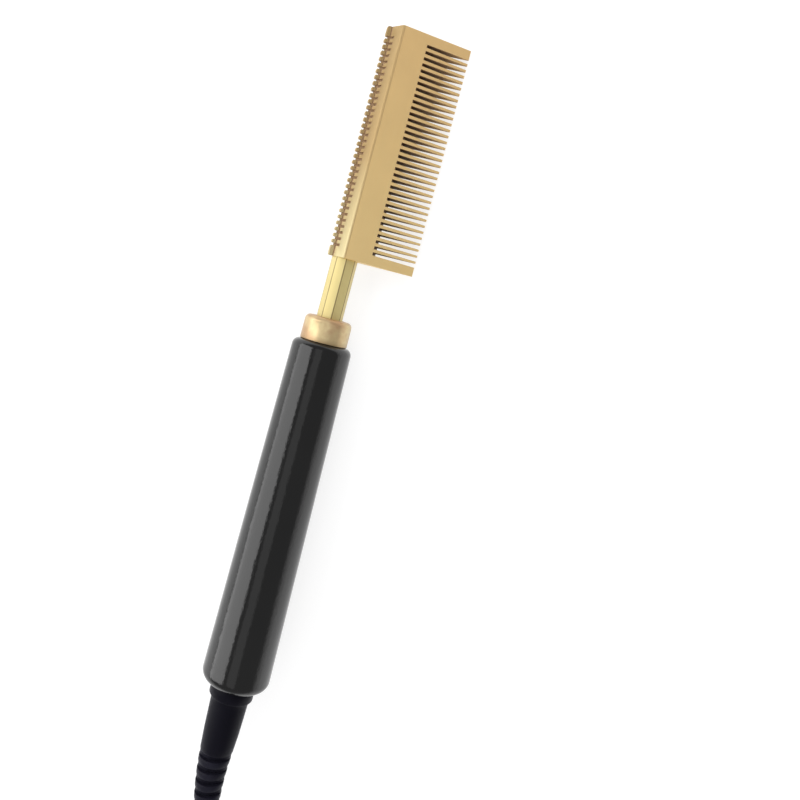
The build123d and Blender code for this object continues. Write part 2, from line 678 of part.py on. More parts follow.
def switch_cores():
    """Inside the case: the cut core's two ends at the fixed contacts, and the through core."""
    inside = SWITCH_LENGTH / 2 - CORD_IN_CASE
    low = SWITCH_WALL + CONTACT_THICKNESS + CORE_DIAMETER / 2
    beside = STEM_DEPTH + CORE_DIAMETER
    foot = -CORE_AT_FOOT
    turn = CORE_TURN_AT
    near = Vector(inside - FIT_GAP, CORE_OFFSET, SWITCH_MID)
    far = Vector(FIT_GAP - inside, CORE_OFFSET, SWITCH_MID)
    flip = Vector(0, -2 * CORE_OFFSET, 0)
    ahead = Vector(CORE_STRAIGHT, 0, 0)
    level = low + CORE_DIAMETER
    to_foot = [Vector(turn, beside, level), Vector(foot + 3, beside, low), Vector(foot, CONTACT_SPREAD, low)]
    from_foot = [Vector(-turn, -CORE_OFFSET / 2, level), Vector(foot, -CONTACT_SPREAD, low)]
    through = [Vector(turn, -beside, level), Vector(-turn, -beside, level)]
    routes = [
        [near, near - ahead, *to_foot],
        [far, far + ahead, *from_foot],
        [near + flip, near + flip - ahead, *through, far + flip + ahead, far + flip],
    ]
    return Compound(children=[core_along(route) for route in routes])


def core_along(route):
    """Round core along runs with small bends."""
    path = FilletPolyline(*route, radius=CORE_BEND)
    plane = Plane(origin=route[0], z_dir=route[1] - route[0])
    return sweep(plane * Circle(CORE_DIAMETER / 2), path=path)


# ---- cords and their route -------------------------------------------------------------------------
def corner_radii(points):
    """The largest arcs that the runs allow, one for each corner."""
    radii = []
    for before, here, after in zip(points, points[1:], points[2:]):
        first = here - before
        second = after - here
        shorter = min(first.length, second.length)
        radii.append(0.45 * shorter / tan(radians(first.get_angle(second)) / 2))
    return radii


def cord_tube(name, points):
    """Flat cord along straight runs joined by tangent arcs."""
    radii = corner_radii(points)
    path = FilletPolyline(*points, radius=radii)
    along = points[1] - points[0]
    level = Vector(0, 0, 1).cross(along).normalized()
    plane = Plane(origin=points[0], x_dir=level, z_dir=along)
    tube = sweep(plane * cord_section(), path=path)
    wanted = cord_section().area * path.length
    print(f"{name}: length {path.length:.1f}, volume {tube.volume:.0f} of {wanted:.0f}")
    print("  radii", [round(r, 1) for r in radii])
    return tube


def hank_line(spread):
    """Dog-bone outline of the hank: two loops and a pinched waist, moved out by spread."""
    radius = HANK_LOOP_RADIUS
    rise = radius + HANK_WAIST
    reach = sqrt((2 * radius) ** 2 - rise**2)
    angle = atan2(rise, reach)
    outer = radius + spread
    inner = radius - spread

    def loop_point(side, degrees_round):
        a = degrees_round
        return (side * (reach + outer * cos(a)), outer * sin(a))

    def waist_point(side, a):
        return (inner * sin(a), side * (rise - inner * cos(a)))

    join = pi - angle
    right = ThreePointArc(loop_point(1, -join), loop_point(1, 0), loop_point(1, join))
    left = ThreePointArc(loop_point(-1, join), loop_point(-1, 0), loop_point(-1, -join))
    top = ThreePointArc(loop_point(1, join), waist_point(1, 0), loop_point(-1, join))
    bottom = ThreePointArc(loop_point(-1, -join), waist_point(-1, 0), loop_point(1, -join))
    return make_face([right, top, left, bottom])


def hank_reach():
    """Distance from the hank's middle to the centre of a loop."""
    return sqrt((2 * HANK_LOOP_RADIUS) ** 2 - (HANK_LOOP_RADIUS + HANK_WAIST) ** 2)


def tie_frame(grow):
    """Solid block inside or around the tie, at the hank's middle."""
    height = HANK_LAYERS * TURN_STEP
    half = HANK_WAIST + CORD_WIDTH / 2 - TIE_BITE
    low = TIE_THICKNESS + FIT_GAP
    block = Box(TIE_WIDTH, 2 * (half + grow), height - low + 2 * grow)
    return Pos(0, 0, (height + low) / 2) * block


def cord_tie():
    outer = tie_frame(TIE_THICKNESS)
    outer = fillet(outer.edges().filter_by(Axis.X), TIE_THICKNESS)
    return outer - tie_frame(0)


def cord_hank():
    height = HANK_LAYERS * TURN_STEP
    spread = CORD_WIDTH / 2 + HANK_EDGE_GAP
    ring = extrude(hank_line(spread), height) - extrude(hank_line(-spread), height)
    return ring - (tie_frame(TIE_THICKNESS + FIT_GAP) - tie_frame(-FIT_GAP))


# ---- plug, drawn from its cord's entry along +X ----------------------------------------------------
def plug_body():
    relief = Rot(0, 90, 0) * Cone(PLUG_TIP_DIAMETER / 2, PLUG_RELIEF_DIAMETER / 2, PLUG_RELIEF_LENGTH)
    body = Pos(PLUG_RELIEF_LENGTH / 2, 0, 0) * relief
    middle = PLUG_RELIEF_LENGTH + PLUG_LENGTH / 2
    block = Box(PLUG_LENGTH, PLUG_WIDTH, PLUG_HEIGHT)
    block = fillet(block.edges(), PLUG_ROUND)
    body += Pos(middle, 0, 0) * block
    face = PLUG_RELIEF_LENGTH + PLUG_LENGTH
    plane = Plane(origin=(face - PLUG_FLANGE_THICKNESS, 0, 0), x_dir=(0, 1, 0), z_dir=(1, 0, 0))
    flange = RectangleRounded(PLUG_FLANGE_WIDTH, PLUG_FLANGE_HEIGHT, PLUG_FLANGE_ROUND)
    body += extrude(plane * flange, PLUG_FLANGE_THICKNESS)
    for side in (-1, 1):
        slot = Box(BLADE_ROOT + 1, BLADE_THICKNESS, BLADE_WIDTH)
        body -= Pos(face - (BLADE_ROOT - 1) / 2, side * BLADE_SPACING / 2, 0) * slot
    return body


def plug_blades():
    face = PLUG_RELIEF_LENGTH + PLUG_LENGTH
    length = BLADE_LENGTH + BLADE_ROOT
    blades = []
    for side in (-1, 1):
        blade = Box(length, BLADE_THICKNESS, BLADE_WIDTH)
        blade = chamfer(blade.faces().sort_by(Axis.X)[-1].edges(), BLADE_CHAMFER)
        hole = Rot(90, 0, 0) * Cylinder(BLADE_HOLE / 2, 2 * BLADE_THICKNESS)
        blade -= Pos(length / 2 - BLADE_HOLE_FROM_END, 0, 0) * hole
        blades.append(Pos(face - BLADE_ROOT + length / 2, side * BLADE_SPACING / 2, 0) * blade)
    return Compound(children=blades)


# ---- rest pose -------------------------------------------------------------------------------------
def rest_pose():
    """Roll, tilt and lift that lay the comb on its head's rear face and the handle's comb end."""
    slope = atan((RIDGE_HALF - TIP_HALF) / (TIP_REACH - RIDGE_REACH))
    below_axis = half_thickness(ROD_REACH) * cos(slope)
    handle_x = -HANDLE_COMB_ROUND
    handle_z = -(HANDLE_COMB_END / 2 - HANDLE_COMB_ROUND)
    head_x = HEAD_END - END_CHAMFER
    head_z = -below_axis
    span = hypot(head_x - handle_x, head_z - handle_z)
    tilt = atan2(head_z - handle_z, head_x - handle_x) + asin(HANDLE_COMB_ROUND / span)
    lift = head_x * sin(tilt) - head_z * cos(tilt)
    return degrees(slope), degrees(tilt), lift


def overall_box(shapes):
    """Lowest and highest corner of several shapes."""
    boxes = [shape.bounding_box() for shape in shapes]
    low = [min(getattr(b.min, axis) for b in boxes) for axis in "XYZ"]
    high = [max(getattr(b.max, axis) for b in boxes) for axis in "XYZ"]
    return Vector(*low), Vector(*high)


def comb_pieces():
    """Every piece of the comb itself, laid on the floor with the frame's origin under its middle."""
    roll, tilt, lift = rest_pose()
    level = Pos(0, 0, lift) * Rot(0, tilt, 0)
    laid = level * Rot(roll, 0, 0)
    pieces = {
        "comb_head": laid * comb_head(),
        "rod_tube": laid * rod_tube(),
        "heater_core": level * heater_core(),
        "heater_winding": level * heater_winding(),
        "heater_sleeve": level * heater_sleeve(),
        "heater_end_bead": level * heater_end_bead(),
        "ferrule": level * ferrule(),
        "ferrule_washer": level * ferrule_washer(),
        "handle": level * handle(),
        "nut_washer": level * nut_washer(),
        "rod_nut": level * rod_nut(),
        "heater_leads": level * heater_leads(),
        "thermal_fuse": level * thermal_fuse(),
        "fuse_sleeve": level * fuse_sleeve(),
        "crimp_joints": level * crimp_joints(),
        "supply_cores": level * supply_cores(),
        "cord_inner_end": level * cord_inner_end(),
        "cord_clamp": level * cord_clamp(),
        "strain_relief": level * strain_relief(),
    }
    low, high = overall_box(pieces.values())
    centre = Pos(-(low.X + high.X) / 2, -(low.Y + high.Y) / 2, 0)
    print("centre", centre.position)
    bend = boot_path(CORD_END)[1]
    tip = Plane(centre * level * Location(Plane(origin=bend @ 1, z_dir=bend % 1)))
    return {name: centre * piece for name, piece in pieces.items()}, tip


def cord_pieces(tip):
    """Cord, switch, hank and plug, in line with the comb behind the boot's tip."""
    start = tip.origin
    switch_end = Vector(start.X - SWITCH_DISTANCE, SWITCH_Y, SWITCH_MID)
    switch = Pos(switch_end.X - SWITCH_LENGTH / 2, SWITCH_Y, 0)
    case_end = switch_end - Vector(SWITCH_LENGTH, 0, 0)
    hank_middle = case_end.X - HANK_LEAD - hank_reach()
    hank = Pos(hank_middle, 0, 0)
    plug_entry = Vector(hank_middle, 0, 0) + Vector(*PLUG_ENTRY)
    plug = Pos(*plug_entry)
    print("switch_end", switch_end, "case_end", case_end, "hank", hank_middle, "plug", plug_entry)

    to_switch = [start, start + tip.z_dir * FIRST_RUN]
    to_switch += [Vector(start.X + x, start.Y + y, z) for x, y, z in TO_SWITCH]
    to_switch += [switch_end + Vector(LAST_RUN, 0, 0), switch_end - Vector(CORD_IN_CASE, 0, 0)]
    to_hank = [case_end + Vector(CORD_IN_CASE, 0, 0)]
    to_hank += [Vector(case_end.X + x, case_end.Y + y, z) for x, y, z in TO_HANK]
    to_plug = [Vector(hank_middle + x, y, z) for x, y, z in TO_PLUG]
    to_plug.append(plug_entry + Vector(CORD_IN_PLUG, 0, 0))
    return {
        "cord_to_switch": cord_tube("cord_to_switch", to_switch),
        "switch_lower_case": switch * switch_lower_case(),
        "switch_upper_case": switch * switch_upper_case(),
        "switch_rocker": switch * switch_rocker(),
        "rocker_pin": switch * rocker_pin(),
        "moving_contact": switch * moving_contact(),
        "fixed_contacts": switch * fixed_contacts(),
        "detent_spring": switch * detent_spring(),
        "switch_screws": switch * switch_screws(),
        "switch_cores": switch * switch_cores(),
        "cord_to_hank": cord_tube("cord_to_hank", to_hank),
        "cord_hank": hank * cord_hank(),
        "cord_tie": hank * cord_tie(),
        "cord_to_plug": cord_tube("cord_to_plug", to_plug),
        "plug_body": plug * plug_body(),
        "plug_blades": plug * plug_blades(),
    }


def main():
    os.makedirs("parts", exist_ok=True)
    pieces, tip = comb_pieces()
    print("boot tip", tip.origin, tip.z_dir)
    pieces.update(cord_pieces(tip))
    low, high = overall_box(pieces.values())
    print("box", low, high)
    for name, piece in pieces.items():
        export_step(piece, f"parts/{name}.step")


main()
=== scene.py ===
"""Electric straightening comb with its cord, switch and plug, dressed around the CAD frame.

Shapes are drawn in millimetres, in the comb's own frame (+X along the rod from the handle's comb end,
teeth towards -Y, front face towards +Z) or in the object's frame, and turned into metres by the matrix
that places them.
"""
import json
from math import atan2, cos, hypot, pi, radians, sin, sqrt, tan

import bmesh
import bpy
from mathutils import Matrix, Vector, noise


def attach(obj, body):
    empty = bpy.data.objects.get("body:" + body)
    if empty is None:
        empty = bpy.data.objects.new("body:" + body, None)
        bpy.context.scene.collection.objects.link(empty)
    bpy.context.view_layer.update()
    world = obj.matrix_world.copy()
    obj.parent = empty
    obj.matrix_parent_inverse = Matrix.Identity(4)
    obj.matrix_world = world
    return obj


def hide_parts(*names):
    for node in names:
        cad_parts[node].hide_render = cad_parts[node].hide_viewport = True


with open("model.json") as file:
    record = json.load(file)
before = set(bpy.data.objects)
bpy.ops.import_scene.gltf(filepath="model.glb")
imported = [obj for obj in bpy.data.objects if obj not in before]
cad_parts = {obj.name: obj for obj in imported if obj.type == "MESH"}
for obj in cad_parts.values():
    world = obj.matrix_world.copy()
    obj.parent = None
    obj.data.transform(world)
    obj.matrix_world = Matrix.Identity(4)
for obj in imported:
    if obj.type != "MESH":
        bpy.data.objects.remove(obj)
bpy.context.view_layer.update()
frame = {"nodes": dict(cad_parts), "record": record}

# ---- where the comb lies ---------------------------------------------------------------------------
# ROW is the object's frame, LEVEL the comb's with its handle's axis in place, and LAID the head's, which is
# rolled about that axis until its rear face lies flat.
ROLL = radians(12.468728)
TILT = radians(2.437104)
LIFT = 12.213975
CENTRE = (35.0424, 6.98674)
ROW = Matrix.Scale(0.001, 4)
LEVEL = ROW @ Matrix.Translation((*CENTRE, LIFT)) @ Matrix.Rotation(TILT, 4, "Y")
LAID = LEVEL @ Matrix.Rotation(ROLL, 4, "X")

# ---- sizes of the comb ------------------------------------------------------------------------------
# In millimetres. TIP_HALF, RIDGE_HALF and HEAD_END are up to 0.011 less than in the CAD, so that the head
# stays above the floor and inside the CAD's box.
PITCH = 2.54
SLOTS = 35
END_TOOTH = 4.05
SLOT_AT_ROOT = 1.27
SLOT_AT_TIP = 1.70
ROOT_FRONT = 15.1
ROOT_REAR = 17.7
TIP_REACH = 34.0
TIP_HALF = 0.489
RIDGE_REACH = 3.7
RIDGE_HALF = 7.189
RIDGE_ROUNDING = 1.1
FIN_HEIGHT = 2.0
FIN_HALF = 1.05
SEAM_GROOVE = 0.22
NOTCH_HALF = 0.55
NOTCH_LIP = 0.62
HEAD_START = 35.2
HEAD_END = 130.92
FIRST_SLOT = HEAD_START + END_TOOTH + SLOT_AT_ROOT / 2

ROD_REACH = 5.4
ROD_ACROSS_FLATS = 9.95
TENON_RADIUS = 4.4
TENON_LENGTH = 12.0
THREAD_RADIUS = 4.7
THREAD_START = -29.0
THREAD_END = -38.9

FERRULE_TOP = 10.3
FERRULE_RADIUS = 9.75
FERRULE_BORE = 5.6
WASHER_TOP = 0.8

HANDLE_LENGTH = 142.5
HANDLE_COMB_RADIUS = 12.35
HANDLE_CORD_RADIUS = 14.0
HANDLE_COMB_ROUNDING = 3.0
HANDLE_CORD_ROUNDING = 4.0
HANDLE_ROD_BORE = 5.7
HANDLE_CORD_BORE = 8.5
HANDLE_BORE_STEP = -30.0
LACQUER_RUNS = 0.03
LACQUER_PEEL = 0.016
LACQUER_INSET = 0.045

BOOT_LENGTH = 58.1
BOOT_NECK_AT = 4.8
BOOT_NECK_RADIUS = 7.8
BOOT_TAPER_AT = 20.0
BOOT_TAPER_RADIUS = 7.25
BOOT_TIP_RADIUS = 4.7
BOOT_BEND_AT = 29.9
RIBS_START = 28.2
RIBS = 6
BOOT_BEND_RADIUS = 130.0
BOOT_DROOP = radians(30)

# ---- the cord's places in the object's frame --------------------------------------------------------
# In millimetres: where the cord leaves the boot and which way, the switch's two ends and the middle of its
# underside, the hank's middle on the floor, and where the cord enters the plug.
BOOT_TIP = Vector((-165.221, 4.34827, 19.2127))
BOOT_OUT = Vector((-0.980257, -0.186391, -0.065989))
SWITCH_NEAR = Vector((-308.221, 6.0, 8.5))
SWITCH_FAR = Vector((-370.221, 6.0, 8.5))
SWITCH_MID = Vector((-339.221, 6.0, 0.0))
HANK = Vector((-447.565, 0.0, 0.0))
PLUG_ENTRY = Vector((-425.565, -5.0, 28.7))


# ---- mesh helpers ----------------------------------------------------------------------------------
def rotated(v, angle):
    """A flat vector turned anticlockwise."""
    return Vector((v.x * cos(angle) - v.y * sin(angle), v.x * sin(angle) + v.y * cos(angle)))


def rounded(corners, steps):
    """Closed outline in which each (x, y, radius) corner is an arc."""
    outline = []
    for i, (x, y, radius) in enumerate(corners):
        here = Vector((x, y))
        if radius == 0:
            outline.append(here)
            continue
        before = (Vector(corners[i - 1][:2]) - here).normalized()
        after = (Vector(corners[(i + 1) % len(corners)][:2]) - here).normalized()
        half = before.angle(after) / 2
        centre = here + (before + after).normalized() * (radius / sin(half))
        first = here + before * (radius / tan(half)) - centre
        last = here + after * (radius / tan(half)) - centre
        turn = atan2(first.x * last.y - first.y * last.x, first.dot(last))
        outline += [centre + rotated(first, turn * k / steps) for k in range(steps + 1)]
    return outline


def tube(rings, closed_ends=True):
    """Vertices and faces of a surface through rings of equally many points; one point alone is a pole."""
    verts, starts = [], []
    for ring in rings:
        starts.append(len(verts))
        verts += ring
    faces = []
    for a, b, ring_a, ring_b in zip(starts, starts[1:], rings, rings[1:]):
        n = max(len(ring_a), len(ring_b))
        for i in range(n):
            j = (i + 1) % n
            if len(ring_a) == 1:
                faces.append((a, b + j, b + i))
            elif len(ring_b) == 1:
                faces.append((a + i, a + j, b))
            else:
                faces.append((a + i, a + j, b + j, b + i))
    if closed_ends:
        if len(rings[0]) > 1:
            faces.append(tuple(reversed(range(len(rings[0])))))
        if len(rings[-1]) > 1:
            faces.append(tuple(range(starts[-1], len(verts))))
    return verts, faces


def turned(profile, segments=96):
    """Surface turned about the X axis from (x, radius) points; a radius of 0 is a pole."""
    angles = [2 * pi * i / segments for i in range(segments)]
    rings = []
    for x, r in profile:
        if r == 0:
            rings.append([Vector((x, 0, 0))])
        else:
            rings.append([Vector((x, r * cos(a), r * sin(a))) for a in angles])
    return tube(rings, closed_ends=False)


def prism(outline, low, high, to_point):
    """Solid between two copies of an outline; to_point turns (u, v, level) into a point."""
    return tube([[to_point(p.x, p.y, level) for p in outline] for level in (low, high)])


def add_mesh(name, shape, place):
    mesh = bpy.data.meshes.new(name)
    verts, faces = shape
    mesh.from_pydata([place @ v for v in verts], [], faces)
    mesh.validate()
    obj = bpy.data.objects.new(name, mesh)
    bpy.context.scene.collection.objects.link(obj)
    return obj


def outward(obj):
    """Make every face look outward."""
    work = bmesh.new()
    work.from_mesh(obj.data)
    bmesh.ops.recalc_face_normals(work, faces=work.faces)
    work.to_mesh(obj.data)
    work.free()


def finish_piece(obj, material, replaces, smooth=35):
    """Shade a piece smooth up to an angle in degrees, tie it to its body and hide the CAD nodes that it
    replaces.
    """
    outward(obj)
    if not obj.data.materials:
        obj.data.materials.append(material)
    obj.data.polygons.foreach_set("use_smooth", [True] * len(obj.data.polygons))
    obj.data.set_sharp_from_angle(angle=radians(smooth))
    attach(obj, "root")
    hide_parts(*replaces)


def bevel(obj, width, segments, angle):
    """Rounded edges, by a width in millimetres, where faces meet at more than an angle in degrees."""
    mod = obj.modifiers.new("bevel", "BEVEL")
    mod.width = width / 1000
    mod.segments = segments
    mod.limit_method = "ANGLE"
    mod.angle_limit = radians(angle)
    mod.harden_normals = True


def join_shapes(shapes):
    """Several shapes as one."""
    verts, faces = [], []
    for v, f in shapes:
        start = len(verts)
        verts += v
        faces += [tuple(i + start for i in face) for face in f]
    return verts, faces


def combine(obj, other, operation):
    """Boolean with another object, which is used up."""
    mod = obj.modifiers.new("bool", "BOOLEAN")
    mod.operation = operation
    mod.solver = "EXACT"
    mod.material_mode = "TRANSFER"
    mod.object = other
    graph = bpy.context.evaluated_depsgraph_get()
    made = bpy.data.meshes.new_from_object(obj.evaluated_get(graph))
    obj.modifiers.remove(mod)
    obj.data = made
    bpy.data.objects.remove(other)


# ---- materials -------------------------------------------------------------------------------------
class Nodes:
    """Short words for building a node material."""

    def __init__(self, name):
        self.material = bpy.data.materials.new(name)
        self.material.use_nodes = True
        self.tree = self.material.node_tree
        self.shader = self.tree.nodes["Principled BSDF"]
        self.coords = self.tree.nodes.new("ShaderNodeTexCoord").outputs["Object"]

    def put(self, kind, links=None, **values):
        node = self.tree.nodes.new(kind)
        for key, value in values.items():
            setattr(node, key, value)
        for socket, value in (links or {}).items():
            self.set(node.inputs[socket], value)
        return node

    def set(self, socket, value):
        if isinstance(value, bpy.types.NodeSocket):
            self.tree.links.new(value, socket)
        else:
            socket.default_value = value

    def stretched(self, scale):
        """Object coordinates scaled along each axis."""
        return self.put("ShaderNodeMapping", {"Vector": self.coords, "Scale": scale}).outputs["Vector"]

    def comb_axes(self):
        """Place along the rod, towards the short teeth and above the seam, in millimetres."""
        links = {
            "Vector": self.coords,
            "Location": LAID.to_translation(),
            "Rotation": (ROLL, TILT, 0),
            "Scale": (0.001, 0.001, 0.001),
        }
        place = self.put("ShaderNodeMapping", links, vector_type="TEXTURE")
        return self.put("ShaderNodeSeparateXYZ", {"Vector": place.outputs["Vector"]}).outputs

    def noise(self, scale, detail, stretch=(1, 1, 1), rough=0.5):
        links = {"Vector": self.stretched(stretch), "Scale": scale, "Detail": detail, "Roughness": rough}
        return self.put("ShaderNodeTexNoise", links).outputs["Fac"]

    def between(self, factor, low, high, start=0.3, end=0.7):
        """A number from low to high as factor goes from start to end."""
        links = {"Value": factor, "From Min": start, "From Max": end, "To Min": low, "To Max": high}
        return self.put("ShaderNodeMapRange", links).outputs["Result"]

    def maths(self, operation, first, second):
        return self.put("ShaderNodeMath", {0: first, 1: second}, operation=operation).outputs[0]

    def colours(self, factor, stops):
        ramp = self.put("ShaderNodeValToRGB", {"Fac": factor})
        while len(ramp.color_ramp.elements) < len(stops):
            ramp.color_ramp.elements.new(0.5)
        for element, (at, colour) in zip(ramp.color_ramp.elements, stops):
            element.position = at
            element.color = (*colour, 1)
        return ramp.outputs["Color"]

    def mottled(self, factor, dark, light):
        return self.colours(factor, [(0.3, dark), (0.7, light)])

    def blend(self, factor, first, second):
        node = self.put("ShaderNodeMix", {"Factor": factor}, data_type="RGBA")
        self.set(node.inputs[6], first if not isinstance(first, tuple) else (*first, 1))
        self.set(node.inputs[7], second if not isinstance(second, tuple) else (*second, 1))
        return node.outputs[2]

    def bump(self, height, distance, normal=None):
        links = {"Height": height, "Distance": distance, "Strength": 1.0}
        if normal:
            links["Normal"] = normal
        return self.put("ShaderNodeBump", links).outputs["Normal"]

    def shade(self, **values):
        """Set the shader's inputs, named with _ for each blank, and give the material."""
        for key, value in values.items():
            self.set(self.shader.inputs[key.replace("_", " ")], value)
        return self.material


def tinted(colour, share):
    return tuple(min(1.0, c * share) for c in colour)


def plain(name, colour, roughness, metallic=0.0, grain=2500.0, spread=0.12, bump=0.00001,
          stretch=(1, 1, 1), **more):
    """A material with mottled colour, uneven roughness and a fine surface."""
    n = Nodes(name)
    dark, light = tinted(colour, 1 - spread), tinted(colour, 1 + spread)
    mottle = n.mottled(n.noise(grain / 6, 4.0, stretch), dark, light)
    rough = n.between(n.noise(grain / 3, 3.0, stretch), roughness * 0.85, min(1.0, roughness * 1.15))
    surface = n.bump(n.noise(grain, 2.0, stretch), bump)
    return n.shade(Base_Color=mottle, Roughness=rough, Metallic=metallic, Normal=surface, **more)


def satin_brass():
    """Brushed brass; the face is painted more orange towards the head's end as a painted warm reflection,
    and painted shade darkens the side next to the short teeth, the fin's foot and a band along the ridge.
    """
    n = Nodes("brass_satin")
    along, across, _ = n.comb_axes()
    to_end = n.between(along, 0.0, 1.0, HEAD_START, HEAD_END)
    ridge, foot = ROD_REACH - RIDGE_REACH, ROD_REACH - 0.3
    # painted reflection: the face turns more orange towards the head's end
    face = n.blend(to_end, (0.98, 0.720, 0.325), (0.93, 0.632, 0.280))
    # painted shade: the side next to the short teeth is darker than the face, more so towards the head's end
    side = n.blend(n.between(to_end, 0.0, 1.0, 0.0, 0.45), (0.72, 0.625, 0.345), (0.47, 0.325, 0.142))
    colour = n.blend(n.between(across, 0.0, 1.0, ridge - 0.7, ridge - 0.1), face, side)
    # painted shade: a dark band along the ridge
    rising = n.between(across, 0.0, 0.5, ridge - 1.0, ridge - 0.7)
    falling = n.between(across, 1.0, 0.0, ridge - 0.6, ridge - 0.1)
    colour = n.blend(n.maths("MULTIPLY", rising, falling), colour, (0.42, 0.27, 0.12))
    # painted shade beside the seam's groove at the fin's foot
    colour = n.blend(n.between(across, 0.0, 0.35, foot - 1.2, foot), colour, (0.46, 0.32, 0.15))
    colour = n.blend(n.between(n.noise(90.0, 4.0), 0.0, 0.10), colour, (0.66, 0.43, 0.20))
    grain = n.noise(2600.0, 3.0, (0.06, 1, 1))
    rough = n.between(n.noise(700.0, 3.0, (0.2, 1, 1)), 0.44, 0.54)
    return n.shade(Base_Color=colour, Metallic=0.5, Roughness=rough, Normal=n.bump(grain, 0.000004))


def drawn_brass():
    """Drawn brass of the octagonal rod, with painted shade along its corners."""
    n = Nodes("brass_drawn")
    _, across, level = n.comb_axes()
    facets = n.maths("MULTIPLY", n.maths("ARCTAN2", level, across), 4 / pi)
    from_corner = n.maths("PINGPONG", facets, 0.5)
    colour = n.mottled(n.noise(160.0, 4.0, (0.3, 1, 1)), (0.78, 0.645, 0.275), (0.84, 0.70, 0.315))
    # painted shade: a dark line along each corner
    colour = n.blend(n.between(from_corner, 0.75, 0.0, 0.035, 0.075), colour, (0.16, 0.10, 0.045))
    grain = n.noise(2600.0, 3.0, (0.05, 1, 1))
    rough = n.between(n.noise(700.0, 3.0, (0.2, 1, 1)), 0.36, 0.44)
    return n.shade(Base_Color=colour, Metallic=0.5, Roughness=rough, Normal=n.bump(grain, 0.000003))


def turned_brass():
    """Turned brass of the ferrule, with the orange clouds that heat leaves, and painted shade darkening its
    top rim and its foot.
    """
    n = Nodes("brass_turned")
    along, _, _ = n.comb_axes()
    colour = n.mottled(n.noise(160.0, 4.0, (0.3, 1, 1)), (0.71, 0.555, 0.29), (0.79, 0.635, 0.355))
    colour = n.blend(n.between(n.noise(150.0, 3.0), 0.0, 0.8, 0.40, 0.62), colour, (0.55, 0.33, 0.18))
    # painted shade along the top rim
    rim = n.between(along, 0.0, 0.55, FERRULE_TOP - 1.6, FERRULE_TOP - 0.2)
    colour = n.blend(rim, colour, (0.42, 0.25, 0.13))
    # painted shade at the foot, where the ferrule meets the handle
    foot = n.between(along, 0.6, 0.0, 0.3, 2.4)
    colour = n.blend(foot, colour, (0.40, 0.25, 0.12))
    rings = n.noise(2600.0, 3.0, (1, 0.05, 0.05))
    rough = n.between(n.noise(500.0, 3.0), 0.30, 0.36)
    return n.shade(Base_Color=colour, Metallic=0.52, Roughness=rough, Normal=n.bump(rings, 0.000001))


def cut_brass():
    """Sawn walls between the teeth, with painted shade: dark at the root and lighter towards the tips."""
    n = Nodes("brass_cut")
    _, across, _ = n.comb_axes()
    out = n.between(across, 0.0, 1.0, ROD_REACH - ROOT_FRONT, ROD_REACH - TIP_REACH + 2)
    # painted shade: the walls are darkest at the root and lighter towards the tips
    root, middle, tip = (0.30, 0.185, 0.11), (0.52, 0.36, 0.21), (0.74, 0.52, 0.26)
    colour = n.colours(out, [(0.0, root), (0.55, middle), (1.0, tip)])
    colour = n.blend(n.between(across, 0.0, 0.35, ROD_REACH - 4, ROD_REACH - 2), colour, (0.62, 0.43, 0.24))
    lines = n.noise(3000.0, 3.0, (1, 0.1, 1))
    colour = n.blend(n.between(lines, 0.0, 0.25), colour, (0.20, 0.12, 0.07))
    rough = n.between(n.noise(1200.0, 3.0), 0.55, 0.75)
    surface = n.bump(lines, 0.00001)
    return n.shade(Base_Color=colour, Metallic=0.2, Roughness=rough, Normal=surface, Specular_IOR_Level=0.15)


def black_lacquer():
    """Thick glossy lacquer with the slow ripples and the fine peel that dipping leaves."""
    n = Nodes("black_lacquer")
    ripple = n.bump(n.noise(110.0, 1.0, (0.5, 1, 1), 0.4), 0.00003)
    peel = n.bump(n.noise(900.0, 3.0, (0.8, 1, 1), 0.6), 0.00005, normal=ripple)
    tone = n.mottled(n.noise(60.0, 3.0), (0.0036, 0.0036, 0.0038), (0.0048, 0.0048, 0.0050))
    rough = n.between(n.noise(500.0, 3.0), 0.07, 0.12)
    return n.shade(Base_Color=tone, Roughness=rough, Normal=peel, Specular_IOR_Level=0.67)


def boot_vinyl():
    """Matt blue-black vinyl, with painted light making it a little paler where the ribs are."""
    n = Nodes("boot_vinyl")
    along, _, _ = n.comb_axes()
    # painted light: the ribs are paler than the trunk
    ribs_at = -HANDLE_LENGTH - RIBS_START
    ribs = n.between(along, 1.0, 0.0, ribs_at - 0.5, ribs_at + 0.5)
    colour = n.blend(ribs, (0.0046, 0.0043, 0.0082), (0.0125, 0.0120, 0.0200))
    colour = n.blend(n.between(n.noise(400.0, 4.0), 0.0, 0.35), colour, (0.0030, 0.0028, 0.0050))
    rough = n.between(n.noise(800.0, 3.0), 0.36, 0.48)
    sheen = dict(Sheen_Weight=0.06, Sheen_Roughness=0.35, Sheen_Tint=(0.72, 0.71, 1.0, 1))
    surface = n.bump(n.noise(2500.0, 2.0), 0.00001)
    return n.shade(Base_Color=colour, Roughness=rough, Normal=surface, Specular_IOR_Level=0.08, **sheen)


